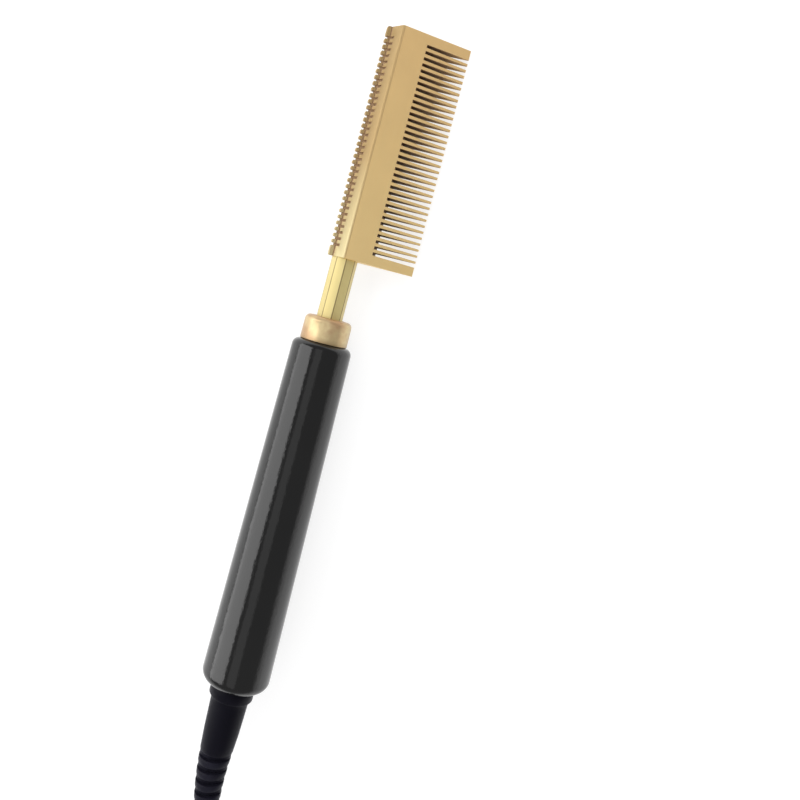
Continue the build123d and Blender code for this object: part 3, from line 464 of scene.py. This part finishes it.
# A finish for each material slot of the record, and four more for parts of the brass and for the print.
MATERIALS = {
    "brass": satin_brass(),
    "handle_gloss": black_lacquer(),
    "boot": boot_vinyl(),
    "cord": plain("cord_vinyl", (0.0062, 0.0060, 0.0085), 0.40, spread=0.15, Specular_IOR_Level=0.3),
    "switch_case": plain("case_plastic", (0.009, 0.009, 0.0095), 0.48, grain=3500.0, spread=0.1,
                         bump=0.00002, Specular_IOR_Level=0.4),
    "rocker": plain("rocker_plastic", (0.007, 0.007, 0.007), 0.22, spread=0.1, bump=0.000005),
    "plug": plain("plug_vinyl", (0.0068, 0.0068, 0.0080), 0.42, spread=0.15, Specular_IOR_Level=0.35),
    "blade": plain("nickel_plate", (0.70, 0.68, 0.63), 0.25, 1.0, spread=0.06, bump=0.000003,
                   stretch=(0.2, 1, 1)),
    "tie": plain("tie_vinyl", (0.012, 0.012, 0.013), 0.5, spread=0.15),
    "steel": plain("zinc_steel", (0.55, 0.56, 0.57), 0.35, 1.0, grain=2000.0, spread=0.08, bump=0.000004),
    "ceramic": plain("ceramic", (0.78, 0.75, 0.68), 0.55, spread=0.06),
    "mica": plain("mica_black", (0.008, 0.007, 0.006), 0.35, grain=1200.0, spread=0.15),
    "resistance_wire": plain("resistance_wire", (0.42, 0.40, 0.38), 0.4, 1.0, spread=0.1, bump=0.000004),
    "lead_insulation": plain("lead_braid", (0.72, 0.70, 0.64), 0.8, grain=3500.0, spread=0.1, bump=0.00003),
    "glass_sleeve": plain("glass_braid", (0.80, 0.78, 0.70), 0.7, grain=3500.0, spread=0.1, bump=0.00003),
    "tinned_copper": plain("tinned_copper", (0.62, 0.60, 0.57), 0.3, 1.0, spread=0.1, bump=0.000004),
    "core_insulation": plain("core_insulation", (0.03, 0.03, 0.035), 0.45),
    "nylon": plain("nylon_clamp", (0.75, 0.73, 0.68), 0.5, spread=0.06),
    "contact_brass": plain("contact_brass", (0.75, 0.56, 0.27), 0.3, 1.0, spread=0.08, bump=0.000004),
}
CUT = cut_brass()
ROD_BRASS = drawn_brass()
FERRULE_BRASS = turned_brass()
PRINT = plain("print_white", (0.78, 0.78, 0.78), 0.45, grain=4000.0, spread=0.04)


# ---- comb head -------------------------------------------------------------------------------------
def head_point(x, reach, level):
    """Point of the head from its place along the rod, its distance from the seam and its height."""
    return Vector((x, ROD_REACH - reach, level))


def half_thickness(reach):
    """Half the head's thickness, which shrinks evenly from the ridge to the tips of the long teeth."""
    return RIDGE_HALF - (RIDGE_HALF - TIP_HALF) / (TIP_REACH - RIDGE_REACH) * (reach - RIDGE_REACH)


def head_section():
    """Outline across the head as (reach, level) corners, with the seam's groove at the fin's foot."""
    half = [
        (-FIN_HEIGHT, FIN_HALF, 0.5),
        (-SEAM_GROOVE, FIN_HALF, 0.08),
        (-0.02, FIN_HALF - SEAM_GROOVE, 0),
        (0.30, FIN_HALF + 0.50, 0.08),
        (RIDGE_REACH, RIDGE_HALF, RIDGE_ROUNDING),
        (TIP_REACH, TIP_HALF, 0.42),
    ]
    return rounded(half + [(u, -v, r) for u, v, r in reversed(half)], steps=6)


def head_outline():
    """Outline seen from the front, without the gaps between the teeth."""
    corners = [(HEAD_START, TIP_REACH + 1, 0), (HEAD_START, -FIN_HEIGHT, 0.6)]
    return rounded(corners + [(HEAD_END, -FIN_HEIGHT, 1.0), (HEAD_END, TIP_REACH + 1, 0)], steps=4)


def notch_cutter(x):
    """One gap between short teeth, sawn deeper on both faces than in the middle, and its flared mouth."""
    mouth = -FIN_HEIGHT - 1
    floor = [(mouth, -3.6), (1.45, -3.6), (1.2, -1.2), (-0.85, 0), (1.2, 1.2), (1.45, 3.6), (mouth, 3.6)]
    wall = [[head_point(x + side * NOTCH_HALF, reach, level) for reach, level in floor] for side in (-1, 1)]
    lip = []
    for k in range(6):
        a = pi / 2 * k / 5
        lip.append((NOTCH_HALF + NOTCH_LIP * (1 - sin(a)), -FIN_HEIGHT + NOTCH_LIP * (1 - cos(a))))
    flare = [Vector((x - NOTCH_HALF - NOTCH_LIP, mouth))]
    flare += [Vector((x - out, reach)) for out, reach in lip]
    flare += [Vector((x + out, reach)) for out, reach in reversed(lip)]
    flare.append(Vector((x + NOTCH_HALF + NOTCH_LIP, mouth)))
    return tube(wall), prism(flare, -1.6, 1.6, head_point)


def slot_cutter(x):
    """One gap between long teeth; its root slants from the front to the rear."""
    slope = (ROOT_REAR - ROOT_FRONT) / (half_thickness(ROOT_FRONT) + half_thickness(ROOT_REAR))
    flare = (SLOT_AT_TIP - SLOT_AT_ROOT) / (TIP_REACH - ROOT_FRONT) / 2
    half = SLOT_AT_ROOT / 2
    end = TIP_REACH + 3
    rings = []
    for level in (-RIDGE_HALF, RIDGE_HALF):
        root = ROOT_FRONT + slope * (half_thickness(ROOT_FRONT) - level)
        wide = half + flare * (end - root)
        corners = ((x - half, root), (x + half, root), (x + wide, end), (x - wide, end))
        rings.append([head_point(*corner, level) for corner in corners])
    return tube(rings)


def paint_groove_shade(body, shape):
    """Give the walls of the groove at the fin's foot the finish of the cut walls, whose dark colour is
    painted shade in the groove.
    """
    near_seam = 0.31
    verts, faces = shape
    for polygon, face in zip(body.data.polygons, faces):
        middle = sum((verts[i] for i in face), Vector()) / len(face)
        if len(face) == 4 and abs(middle.y - ROD_REACH) < near_seam:
            polygon.material_index = 1


def comb_head():
    """The wedge, cut to its outline, then the gaps of both rows; the cut walls have their own finish, with
    painted shade at the root.
    """
    section = head_section()
    shape = tube([[head_point(x, *p) for p in section] for x in (HEAD_START, HEAD_END)])
    body = add_mesh("comb_head_dressed", shape, LAID)
    past_faces = 9
    outline = add_mesh("outline", prism(head_outline(), -past_faces, past_faces, head_point), LAID)
    places = [FIRST_SLOT + i * PITCH for i in range(SLOTS)]
    notches, lips = zip(*[notch_cutter(x) for x in places])
    slots = add_mesh("slots", join_shapes([slot_cutter(x) for x in places] + list(notches)), LAID)
    mouths = add_mesh("mouths", join_shapes(lips), LAID)
    for obj in (body, outline, slots, mouths):
        outward(obj)
    for obj in (body, outline, mouths):
        obj.data.materials.append(MATERIALS["brass"])
    slots.data.materials.append(CUT)
    body.data.materials.append(CUT)
    paint_groove_shade(body, shape)
    combine(body, outline, "INTERSECT")
    combine(body, mouths, "DIFFERENCE")
    combine(body, slots, "DIFFERENCE")
    finish_piece(body, MATERIALS["brass"], ["comb_head"], smooth=30)
    bevel(body, 0.22, 3, 40)


# ---- rod, ferrule and handle -----------------------------------------------------------------------
def rod():
    """Octagonal bar with a round tenon in the head and a round end for the nut in the handle."""
    corner = ROD_ACROSS_FLATS / 2 / cos(radians(22.5))
    corners = [(corner * cos(i * pi / 4), corner * sin(i * pi / 4), 0.45) for i in range(8)]
    octagon = rounded(corners, steps=3)

    def ring(x, radius=None, shrink=1.0):
        """The octagon at a place along the rod, or its points drawn in to a circle."""
        return [Vector((x, *(p * shrink if radius is None else p.normalized() * radius))) for p in octagon]

    rings = [
        ring(THREAD_END, THREAD_RADIUS - 0.5),
        ring(THREAD_END + 0.5, THREAD_RADIUS),
        ring(THREAD_START, THREAD_RADIUS),
        ring(THREAD_START),
        ring(HEAD_START - 0.25),
        ring(HEAD_START, shrink=0.975),
        ring(HEAD_START, TENON_RADIUS),
        ring(HEAD_START + TENON_LENGTH - 0.2, TENON_RADIUS),
        ring(HEAD_START + TENON_LENGTH, TENON_RADIUS - 0.2),
    ]
    obj = add_mesh("rod_dressed", tube(rings), LAID)
    finish_piece(obj, ROD_BRASS, ["rod_tube"], smooth=12)


def arc(cx, cr, radius, start, end, steps):
    """Points of an arc in the (x, radius) plane, angles in degrees from +X towards +radius."""
    angles = [radians(start + (end - start) * i / steps) for i in range(steps + 1)]
    return [(cx + radius * cos(a), cr + radius * sin(a)) for a in angles]


def ferrule():
    """Collar with a narrow skirt on the handle, a round shoulder and a small rim at the rod's hole."""
    outer, shoulder = FERRULE_RADIUS, 2.1
    profile = [(WASHER_TOP, FERRULE_BORE), (WASHER_TOP, outer - 0.7), (0.1, outer - 0.6), (0.1, outer - 0.4)]
    profile += arc(0.4, outer - 0.3, 0.3, 180, 90, 4)
    profile += [(4.5, outer), (FERRULE_TOP - shoulder, outer - 0.05)]
    profile += arc(FERRULE_TOP - shoulder, outer - 0.05 - shoulder, shoulder, 90, 0, 10)
    profile += [(FERRULE_TOP, 6.35), (FERRULE_TOP - 0.12, 6.2), (FERRULE_TOP - 0.12, 5.95)]
    profile += [(FERRULE_TOP - 0.3, 5.75), (WASHER_TOP, FERRULE_BORE)]
    obj = add_mesh("ferrule_dressed", turned(profile), LEVEL)
    finish_piece(obj, FERRULE_BRASS, ["ferrule"])


def lacquered(point):
    """A point of the handle, moved a few hundredths of a millimetre by the lacquer's runs and peel."""
    runs = noise.noise(Vector((point.x * 0.05, point.y * 0.16, point.z * 0.16)))
    peel = noise.noise(point * 0.55) + 0.5 * noise.noise(point * 1.1)
    out = Vector((0, point.y, point.z)).normalized()
    return point + out * (LACQUER_RUNS * runs + LACQUER_PEEL * peel - LACQUER_INSET)


def handle():
    """Tapered handle with round ends, bored for the rod and, from the other end, for the boot."""
    near, far = HANDLE_COMB_ROUNDING, HANDLE_CORD_ROUNDING
    comb, cord = HANDLE_COMB_RADIUS, HANDLE_CORD_RADIUS
    end = -HANDLE_LENGTH
    profile = [(HANDLE_BORE_STEP, HANDLE_ROD_BORE), (0, HANDLE_ROD_BORE), (0, comb - near)]
    profile += arc(-near, comb - near, near, 0, 90, 10)
    rows = 200
    for i in range(1, rows):
        share = i / rows
        profile.append((-near + (end + near + far) * share, comb + (cord - comb) * share))
    profile += arc(end + far, cord - far, far, 90, 180, 12)
    profile += [(end, HANDLE_CORD_BORE), (HANDLE_BORE_STEP, HANDLE_CORD_BORE), profile[0]]
    verts, faces = turned(profile, 180)
    outside = HANDLE_CORD_BORE + 0.5
    verts = [lacquered(v) if hypot(v.y, v.z) > outside else v for v in verts]
    obj = add_mesh("handle_dressed", (verts, faces), LEVEL)
    finish_piece(obj, MATERIALS["handle_gloss"], ["handle"])


# ---- strain relief ---------------------------------------------------------------------------------
def boot_frame(s):
    """Middle, sideways and upward directions of the boot at a distance s from the handle's end."""
    turn = max(0.0, s - BOOT_BEND_AT) / BOOT_BEND_RADIUS
    side = Vector((0, -cos(BOOT_DROOP), -sin(BOOT_DROOP)))
    middle = Vector((-HANDLE_LENGTH - min(s, BOOT_BEND_AT) - BOOT_BEND_RADIUS * sin(turn), 0, 0))
    middle += side * (BOOT_BEND_RADIUS * (1 - cos(turn)))
    along = Vector((-cos(turn), 0, 0)) + side * sin(turn)
    across = Vector((0, 0, 1)).cross(along).normalized()
    return middle, across, along.cross(across)


def boot_radius(s):
    """Radius of the boot behind its flange: it shrinks slowly to BOOT_TAPER_AT and quickly from there."""
    if s < BOOT_TAPER_AT:
        share = (s - BOOT_NECK_AT) / (BOOT_TAPER_AT - BOOT_NECK_AT)
        return BOOT_NECK_RADIUS - (BOOT_NECK_RADIUS - BOOT_TAPER_RADIUS) * share
    share = (s - BOOT_TAPER_AT) / (BOOT_LENGTH - BOOT_TAPER_AT)
    return BOOT_TAPER_RADIUS - (BOOT_TAPER_RADIUS - BOOT_TIP_RADIUS) * share


def boot_stations():
    """Rows of (distance, half width, half height): the part in the handle, the flange, neck and ribs.

    The grooves between the ribs are deep above and below, and shallow at the sides.
    """
    stations = [(-13.5, 8.1, 8.1), (-13.2, 8.35, 8.35), (0, 8.35, 8.35), (0, 8.5, 8.5), (0.25, 8.9, 8.9)]
    stations += [(0.6, 9.0, 9.0), (5.1, 9.0, 9.0), (5.5, 8.75, 8.75), (5.6, 8.25, 8.25)]
    stations += [(5.6, 7.95, 7.95), (5.9, 7.8, 7.8)]
    for s in (8, 12, 16, 20, 24, RIBS_START - 0.35):
        stations.append((s, boot_radius(s), boot_radius(s)))
    step = (BOOT_LENGTH - RIBS_START) / (2 * RIBS)
    for i in range(RIBS):
        groove, rib, end = [RIBS_START + (2 * i + k) * step for k in range(3)]
        for s, side, top in ((groove, 0.06, 0.16), (groove, 0.2, 1.9), (rib, 0.2, 1.9), (rib, 0.06, 0.16)):
            stations.append((s, boot_radius(s) - side, boot_radius(s) - top))
        for s in (rib + 0.3, end - 0.3):
            stations.append((s, boot_radius(s), boot_radius(s)))
    return stations + [(BOOT_LENGTH, 4.5, 4.5), (BOOT_LENGTH, 3.0, 1.7), (BOOT_LENGTH - 3, 2.9, 1.6)]


def boot():
    """Flanged boot, bent down behind its neck; its ribs lean a little to one side."""
    rings = []
    segments = 72
    for s, wide, high in boot_stations():
        middle, across, up = boot_frame(s)
        along = across.cross(up)
        rising = min(1.0, max(0.0, (s - BOOT_TAPER_AT) / 8))
        skew = 0.085 * rising * min(1.0, max(0.0, (BOOT_LENGTH - s) / 4))
        ring = []
        for i in range(segments):
            a = 2 * pi * i / segments
            point = middle + across * (wide * cos(a)) + up * (high * sin(a))
            ring.append(point + along * (skew * across.y * wide * cos(a)))
        rings.append(ring)
    obj = add_mesh("strain_relief_dressed", tube(rings), LEVEL)
    finish_piece(obj, MATERIALS["boot"], ["strain_relief"], smooth=40)


# ---- cords -----------------------------------------------------------------------------------------
# FLOOR_LEVEL is the height of the cord's middle where it lies on the floor.
CORD_WIDTH = 5.6
CORD_THICK = 2.9
FLOOR_LEVEL = 1.5


def cord_section():
    """Two round cores side by side with a groove between them, as (sideways, up) points."""
    radius = CORD_THICK / 2
    offset = CORD_WIDTH / 2 - radius
    points = [(offset + radius * cos(radians(a)), radius * sin(radians(a))) for a in range(-120, 121, 15)]
    points.append((0.0, 0.5 * radius))
    points += [(-offset + radius * cos(radians(a)), radius * sin(radians(a))) for a in range(60, 301, 15)]
    points.append((0.0, -0.5 * radius))
    return points


def route_line(points):
    """The smooth line that a route's points give, in metres."""
    curve = bpy.data.curves.new("route", "CURVE")
    curve.dimensions = "3D"
    curve.resolution_u = 10
    spline = curve.splines.new("NURBS")
    spline.points.add(len(points) - 1)
    for at, point in zip(spline.points, points):
        at.co = (*(point / 1000), 1)
    spline.order_u = 3
    spline.use_endpoint_u = True
    holder = bpy.data.objects.new("route", curve)
    mesh = bpy.data.meshes.new_from_object(holder)
    line = [v.co.copy() for v in mesh.vertices]
    bpy.data.meshes.remove(mesh)
    bpy.data.objects.remove(holder)
    bpy.data.curves.remove(curve)
    return line


def flat_cord(name, points, replaces):
    """Flat twin cord along a route, and the line that it follows."""
    line = route_line(points)
    section = cord_section()
    rings = []
    for i, at in enumerate(line):
        along = (line[min(i + 1, len(line) - 1)] - line[max(i - 1, 0)]).normalized()
        across = Vector((0, 0, 1)).cross(along).normalized()
        up = along.cross(across)
        rings.append([at + across * (y / 1000) + up * (z / 1000) for y, z in section])
    obj = add_mesh(name, tube(rings), Matrix.Identity(4))
    finish_piece(obj, MATERIALS["cord"], replaces, smooth=60)
    return obj, line


def first_route():
    """From the boot down to the floor and along it to the switch."""
    points = [BOOT_TIP, BOOT_TIP + BOOT_OUT * 22]
    floor = FLOOR_LEVEL
    for x, y, z in ((-44, -8.6, 10.8), (-66, -10.4, 3.6), (-88, -8.0, floor), (-111, -3.0, floor + 2.6)):
        points.append(Vector((BOOT_TIP.x + x, BOOT_TIP.y + y, z)))
    return points + [SWITCH_NEAR + Vector((18, 0, 0)), SWITCH_NEAR - Vector((9, 0, 0))]


LOOP = 17.3
WAIST = 3.9
TURN_STEP = 2.95
TURNS = 6.5
POINTS_A_TURN = 20
LIFT_OVER_TIE = 1.45

# The hank's outline is a dog-bone of four arcs of the radius LOOP: two loops, LOOP_REACH from the middle,
# and two waists between them that curve the other way.
LOOP_RISE = LOOP + WAIST
LOOP_REACH = sqrt((2 * LOOP) ** 2 - LOOP_RISE**2)
LOOP_LEAN = atan2(LOOP_RISE, LOOP_REACH)
LOOP_RUN = LOOP * (2 * pi - 2 * LOOP_LEAN)
WAIST_RUN = LOOP * (pi - 2 * LOOP_LEAN)
TURN_LENGTH = 2 * (LOOP_RUN + WAIST_RUN)


def hank_place(turn):
    """Place on the dog-bone outline after that many turns, and the centre of the arc that it is on."""
    quarter = LOOP * (pi / 2 - LOOP_LEAN)
    runs = [
        (quarter, LOOP_REACH, 0, pi / 2, 1),
        (WAIST_RUN, 0, LOOP_RISE, -LOOP_LEAN, -1),
        (LOOP_RUN, -LOOP_REACH, 0, LOOP_LEAN, 1),
        (WAIST_RUN, 0, -LOOP_RISE, pi - LOOP_LEAN, -1),
        (LOOP_RUN - quarter, LOOP_REACH, 0, pi + LOOP_LEAN, 1),
    ]
    s = (turn % 1.0) * TURN_LENGTH
    for length, cx, cy, angle, way in runs:
        if s <= length:
            a = angle + way * s / LOOP
            return Vector((cx + LOOP * cos(a), cy + LOOP * sin(a), 0)), Vector((cx, cy, 0))
        s -= length
    # rounding can leave a hair past the last run, which is the start again
    return Vector((LOOP_REACH, LOOP, 0)), Vector((LOOP_REACH, 0, 0))


def hank_points():
    """The folded length: turns of a dog-bone, each layer on the one below, lifted over the tie."""
    points = []
    count = int(TURNS * POINTS_A_TURN)
    bulge = (TURN_LENGTH / POINTS_A_TURN) ** 2 / (8 * LOOP)
    for i in range(count + 1):
        turn = i / POINTS_A_TURN
        place, centre = hank_place(turn)
        near_tie = max(0.0, 1 - (abs(place.x) / 16) ** 2) if abs(place.y) < 12 else 0.0
        up = FLOOR_LEVEL + TURN_STEP * turn + near_tie * LIFT_OVER_TIE * (1 - turn / 5.0)
        points.append(HANK + place + (place - centre).normalized() * bulge + Vector((0, 0, up)))
    return points


def second_route():
    """From the switch into the hank, round it, over its top and into the plug."""
    points = [SWITCH_FAR + Vector((9, 0, 0))]
    for x, y, z in ((-7, 0, 8.5), (-18, 2.0, 6.2), (-29, 6.2, 3.0), (-39, 9.8, FLOOR_LEVEL + 0.2)):
        points.append(Vector((SWITCH_FAR.x + x, SWITCH_FAR.y + y, z)))
    points += hank_points()
    for x, y, z in ((-20, -17.0, 20.7), (-8, -16.0, 22.0), (3, -11.4, 25.0), (12, -7.3, 27.6)):
        points.append(HANK + Vector((x, y, z)))
    return points + [PLUG_ENTRY + Vector((2, 0, 0))]


# ---- plug and tie ----------------------------------------------------------------------------------
def rounded_box_ring(x, wide, high, corner):
    """Rounded rectangle across the X axis."""
    half_w, half_h = wide / 2, high / 2
    corner = min(corner, half_w, half_h)
    corners = [(half_w, half_h), (-half_w, half_h), (-half_w, -half_h), (half_w, -half_h)]
    return [Vector((x, p.x, p.y)) for p in rounded([(*c, corner) for c in corners], steps=5)]


def plug_rings():
    """Rows of the plug from the cord to its face: the collar, four ribs, the grip and the flange."""
    rings = [rounded_box_ring(0.0, 8.4, 6.4, 3.0), rounded_box_ring(0.35, 9.0, 7.0, 3.3)]
    for i in range(4):
        x, wide, high = 1.7 + 2.1 * i, 9.4 + 0.9 * i, 7.4 + 0.75 * i
        for at, out in ((x - 0.55, 0.0), (x - 0.45, -1.5), (x + 0.4, -1.5), (x + 0.5, 0.3)):
            rings.append(rounded_box_ring(at, wide + out, high + out, (high + out) / 2 - 0.15))
    grip = [(9.6, 13.0, 10.4, 4.9), (11.0, 14.4, 11.3, 5.0), (12.6, 17.6, 12.9, 5.2)]
    grip += [(14.6, 20.8, 14.6, 5.2), (17.5, 23.0, 15.7, 5.0), (20.5, 23.9, 16.0, 4.8)]
    grip += [(24.0, 23.5, 15.7, 4.6), (27.5, 22.7, 15.2, 4.4), (30.0, 22.4, 15.0, 4.2)]
    flange = [(30.4, 23.6, 15.8, 4.2), (30.5, 26.0, 17.2, 4.2), (30.8, 26.8, 17.8, 4.2)]
    flange += [(32.6, 27.0, 18.0, 4.2), (33.0, 26.4, 17.4, 4.0)]
    return rings + [rounded_box_ring(*row) for row in grip + flange]


def plug_dishes():
    """Flattened drops that leave a shallow dish in the plug's two wide sides."""
    middle, reach, radius, flatness, apart = 21.5, 5.3, 3.4, 0.3, 8.1
    angles = [pi * i / 12 for i in range(1, 12)]
    profile = [(middle - reach, 0)] + [(middle - reach * cos(a), radius * sin(a)) for a in angles]
    verts, faces = turned(profile + [(middle + reach, 0)], 32)
    sides = [[Vector((v.x, v.y, v.z * flatness + z)) for v in verts] for z in (-apart, apart)]
    return join_shapes([(side, faces) for side in sides])


def plug():
    """Ribbed plug with a finger dish in each wide side."""
    place = ROW @ Matrix.Translation(PLUG_ENTRY)
    obj = add_mesh("plug_dressed", tube(plug_rings()), place)
    cutters = add_mesh("dishes", plug_dishes(), place)
    for piece in (obj, cutters):
        outward(piece)
        piece.data.materials.append(MATERIALS["plug"])
    combine(obj, cutters, "DIFFERENCE")
    finish_piece(obj, MATERIALS["plug"], ["plug_body"], smooth=40)
    return obj


def strand(line, radius, closed):
    """Round strand along points in the object's frame."""
    angles = [2 * pi * k / 10 for k in range(10)]
    rings = []
    for i, at in enumerate(line):
        if closed:
            before, after = line[i - 1], line[(i + 1) % len(line)]
        else:
            before, after = line[max(i - 1, 0)], line[min(i + 1, len(line) - 1)]
        along = (after - before).normalized()
        if abs(along.x) > 0.9:
            across = along.orthogonal().normalized()
        else:
            across = Vector((1, 0, 0)).cross(along).normalized()
        up = along.cross(across)
        rings.append([at + (across * cos(a) + up * sin(a)) * radius for a in angles])
    if closed:
        rings.append(rings[0])
    return tube(rings, closed_ends=not closed)


def tie():
    """Twist tie: two turns round the hank's waist and a twisted tail."""
    low, high = 0.8, 21.6
    half = WAIST + CORD_WIDTH / 2 + 0.3
    loop = rounded([(half, low, 2.0), (half, high, 2.0), (-half, high, 2.0), (-half, low, 2.0)], steps=6)
    shapes = []
    for shift, lean in ((-1.2, 0.06), (1.0, -0.05)):
        turn = [HANK + Vector((shift + lean * (p.y - high / 2), p.x, p.y)) for p in loop]
        shapes.append(strand(turn, 0.75, closed=True))
    for start in (0, pi):
        tail = []
        for i in range(33):
            rise = i / 32
            a = start + rise * 5 * pi
            middle = Vector((-0.2 - 7 * rise, 3.0 + 4.5 * rise, high + 0.6 + 5.5 * rise))
            tail.append(HANK + middle + Vector((cos(a) * 0.3, cos(a) * 0.5, sin(a))) * 0.85)
        shapes.append(strand(tail, 0.62, closed=False))
    obj = add_mesh("tie_dressed", join_shapes(shapes), ROW)
    finish_piece(obj, MATERIALS["tie"], ["cord_tie"], smooth=60)
    return obj


# ---- switch lettering ------------------------------------------------------------------------------
LETTER_SIZE = 7.6
LETTER_WEIGHT = 0.12
LETTER_RELIEF = 0.06
LETTER_LEVEL = 17.04


def lettering(name, words, x):
    """Thin raised print across the switch's top, upright when the comb's head points down."""
    curve = bpy.data.curves.new(name, "FONT")
    curve.body = words
    curve.size = LETTER_SIZE
    curve.extrude = LETTER_RELIEF
    curve.align_x = "CENTER"
    curve.align_y = "CENTER"
    curve.offset = LETTER_WEIGHT
    holder = bpy.data.objects.new(name, curve)
    mesh = bpy.data.meshes.new_from_object(holder)
    bpy.data.objects.remove(holder)
    turn = Matrix(((0, -1, 0, 0), (1, 0, 0, 0), (0, 0, 1, 0), (0, 0, 0, 1)))
    mesh.transform(ROW @ Matrix.Translation(SWITCH_MID + Vector((x, 0, LETTER_LEVEL))) @ turn)
    mesh.name = name
    obj = bpy.data.objects.new(name, mesh)
    bpy.context.scene.collection.objects.link(obj)
    mesh.materials.clear()
    mesh.materials.append(PRINT)
    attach(obj, "root")
    return obj


# ---- camera, light and floor -----------------------------------------------------------------------
# CAMERA_DISTANCE is in metres; the point above which the camera stands and the floor are in millimetres.
CAMERA_LEAN = radians(5.77)
CAMERA_ROLL = radians(14.7)
CAMERA_AIM = Vector((20, 0, 0))
CAMERA_DISTANCE = 0.3255
CAMERA_SHIFT = (0.0805, -0.1311)
HORIZON = 0.9
CEILING = 0.285
FLOOR_GREY = 0.38
FLOOR_GLOW = 0.74
FLOOR_HALF = 4000


def camera():
    """Camera above the rod, a little to the teeth's side, with the head upwards and the teeth right."""
    lean, roll = CAMERA_LEAN, CAMERA_ROLL
    tilt = Matrix.Rotation(TILT, 3, "Y")
    back = tilt @ Vector((0, -sin(lean), cos(lean)))
    tips = tilt @ Vector((0, -cos(lean), -sin(lean)))
    head = tilt @ Vector((1, 0, 0))
    right = tips * cos(roll) + head * sin(roll)
    up = head * cos(roll) - tips * sin(roll)
    obj = bpy.data.objects.new("camera", bpy.data.cameras.new("camera"))
    bpy.context.scene.collection.objects.link(obj)
    eye = LEVEL @ CAMERA_AIM + back * CAMERA_DISTANCE
    obj.matrix_world = Matrix.Translation(eye) @ Matrix((right, up, back)).transposed().to_4x4()
    obj.data.sensor_fit = "VERTICAL"
    obj.data.sensor_height = 36
    obj.data.sensor_width = 27  # unused by the lens; it makes the views from other sides stand further back
    obj.data.lens = 36
    obj.data.shift_x, obj.data.shift_y = CAMERA_SHIFT
    obj.data.clip_start = 0.01
    bpy.context.scene.camera = obj


def softbox(name, sideways, along, distance, size, strength):
    """Area lamp at angles from straight up, sideways to +Y and along to +X, facing the middle; in metres."""
    side, end = radians(sideways), radians(along)
    direction = Vector((sin(end), sin(side) * cos(end), cos(side) * cos(end)))
    lamp = bpy.data.lights.new(name, "AREA")
    lamp.shape = "RECTANGLE"
    lamp.size, lamp.size_y = size
    lamp.energy = strength * pi * size[0] * size[1]
    obj = bpy.data.objects.new(name, lamp)
    bpy.context.scene.collection.objects.link(obj)
    obj.location = direction * distance
    obj.rotation_mode = "QUATERNION"
    obj.rotation_quaternion = direction.to_track_quat("Z", "Y")
    return obj


def lamps():
    """Two lamps, beside and above the comb, and two beyond its ends that no surface mirrors."""
    softbox("soft_left", 57, 0, 1.3, (1.6, 1.36), 2.0)
    softbox("strip_top", 3.0, 0, 1.3, (1.6, 0.62), 0.32)
    for name, along, strength in (("soft_head_end", 62, 2.1), ("soft_cord_end", -62, 1.7)):
        softbox(name, 0, along, 1.4, (1.3, 1.5), strength).visible_glossy = False


def sky():
    """Pale horizon and dimmer ceiling; the change lies where a direction's Z is between 0.1 and 0.3."""
    world = bpy.data.worlds.new("studio")
    bpy.context.scene.world = world
    world.use_nodes = True
    tree = world.node_tree
    direction = tree.nodes.new("ShaderNodeTexCoord")
    height = tree.nodes.new("ShaderNodeSeparateXYZ")
    tree.links.new(direction.outputs["Generated"], height.inputs["Vector"])
    shade = tree.nodes.new("ShaderNodeMapRange")
    for name, value in (("From Min", 0.1), ("From Max", 0.3), ("To Min", HORIZON), ("To Max", CEILING)):
        shade.inputs[name].default_value = value
    tree.links.new(height.outputs["Z"], shade.inputs["Value"])
    tree.links.new(shade.outputs["Result"], tree.nodes["Background"].inputs["Color"])


def seen_or_mirrored(n):
    """1 for a ray from the camera, a reflection or a transmission, and 0 for light on a dull surface."""
    ray = n.put("ShaderNodeLightPath").outputs
    either = n.maths("MAXIMUM", ray["Is Camera Ray"], ray["Is Glossy Ray"])
    return n.maths("MAXIMUM", either, ray["Is Transmission Ray"])


def floor():
    """White floor: its glow is seen and mirrored, and its paper takes the light and the shadows."""
    n = Nodes("floor_white")
    glow = n.put("ShaderNodeEmission", {"Color": (1, 1, 1, 1)})
    n.set(glow.inputs["Strength"], n.maths("MULTIPLY", seen_or_mirrored(n), FLOOR_GLOW))
    paper = n.put("ShaderNodeBsdfDiffuse", {"Color": (FLOOR_GREY, FLOOR_GREY, FLOOR_GREY, 1)})
    both = n.put("ShaderNodeAddShader", {0: paper.outputs[0], 1: glow.outputs[0]})
    n.set(n.tree.nodes["Material Output"].inputs["Surface"], both.outputs[0])
    corners = [Vector((x * FLOOR_HALF, y * FLOOR_HALF, 0)) for x, y in ((-1, -1), (1, -1), (1, 1), (-1, 1))]
    obj = add_mesh("floor", (corners, [(0, 1, 2, 3)]), ROW)
    obj.data.materials.append(n.material)


# ---- build -----------------------------------------------------------------------------------------
def dress_nodes():
    """Give every CAD node the finish of its material slot in the record."""
    for part in frame["record"]["subparts"]:
        mesh = frame["nodes"][part["node"]].data
        mesh.materials.clear()
        mesh.materials.append(MATERIALS[part["material_slot"]])


dress_nodes()
camera()
lamps()
sky()
floor()
comb_head()
rod()
ferrule()
handle()
boot()
plug_piece = plug()
tie_piece = tie()
off = lettering("word_off", "OFF", -14.6)
on = lettering("word_on", "ON", 15.0)
cord_one, line_one = flat_cord("cord_to_switch_dressed", first_route(), ["cord_to_switch"])
second_parts = ["cord_to_hank", "cord_hank", "cord_to_plug"]
cord_two, line_two = flat_cord("cord_to_plug_dressed", second_route(), second_parts)

bpy.context.scene.view_settings.view_transform = "Standard"
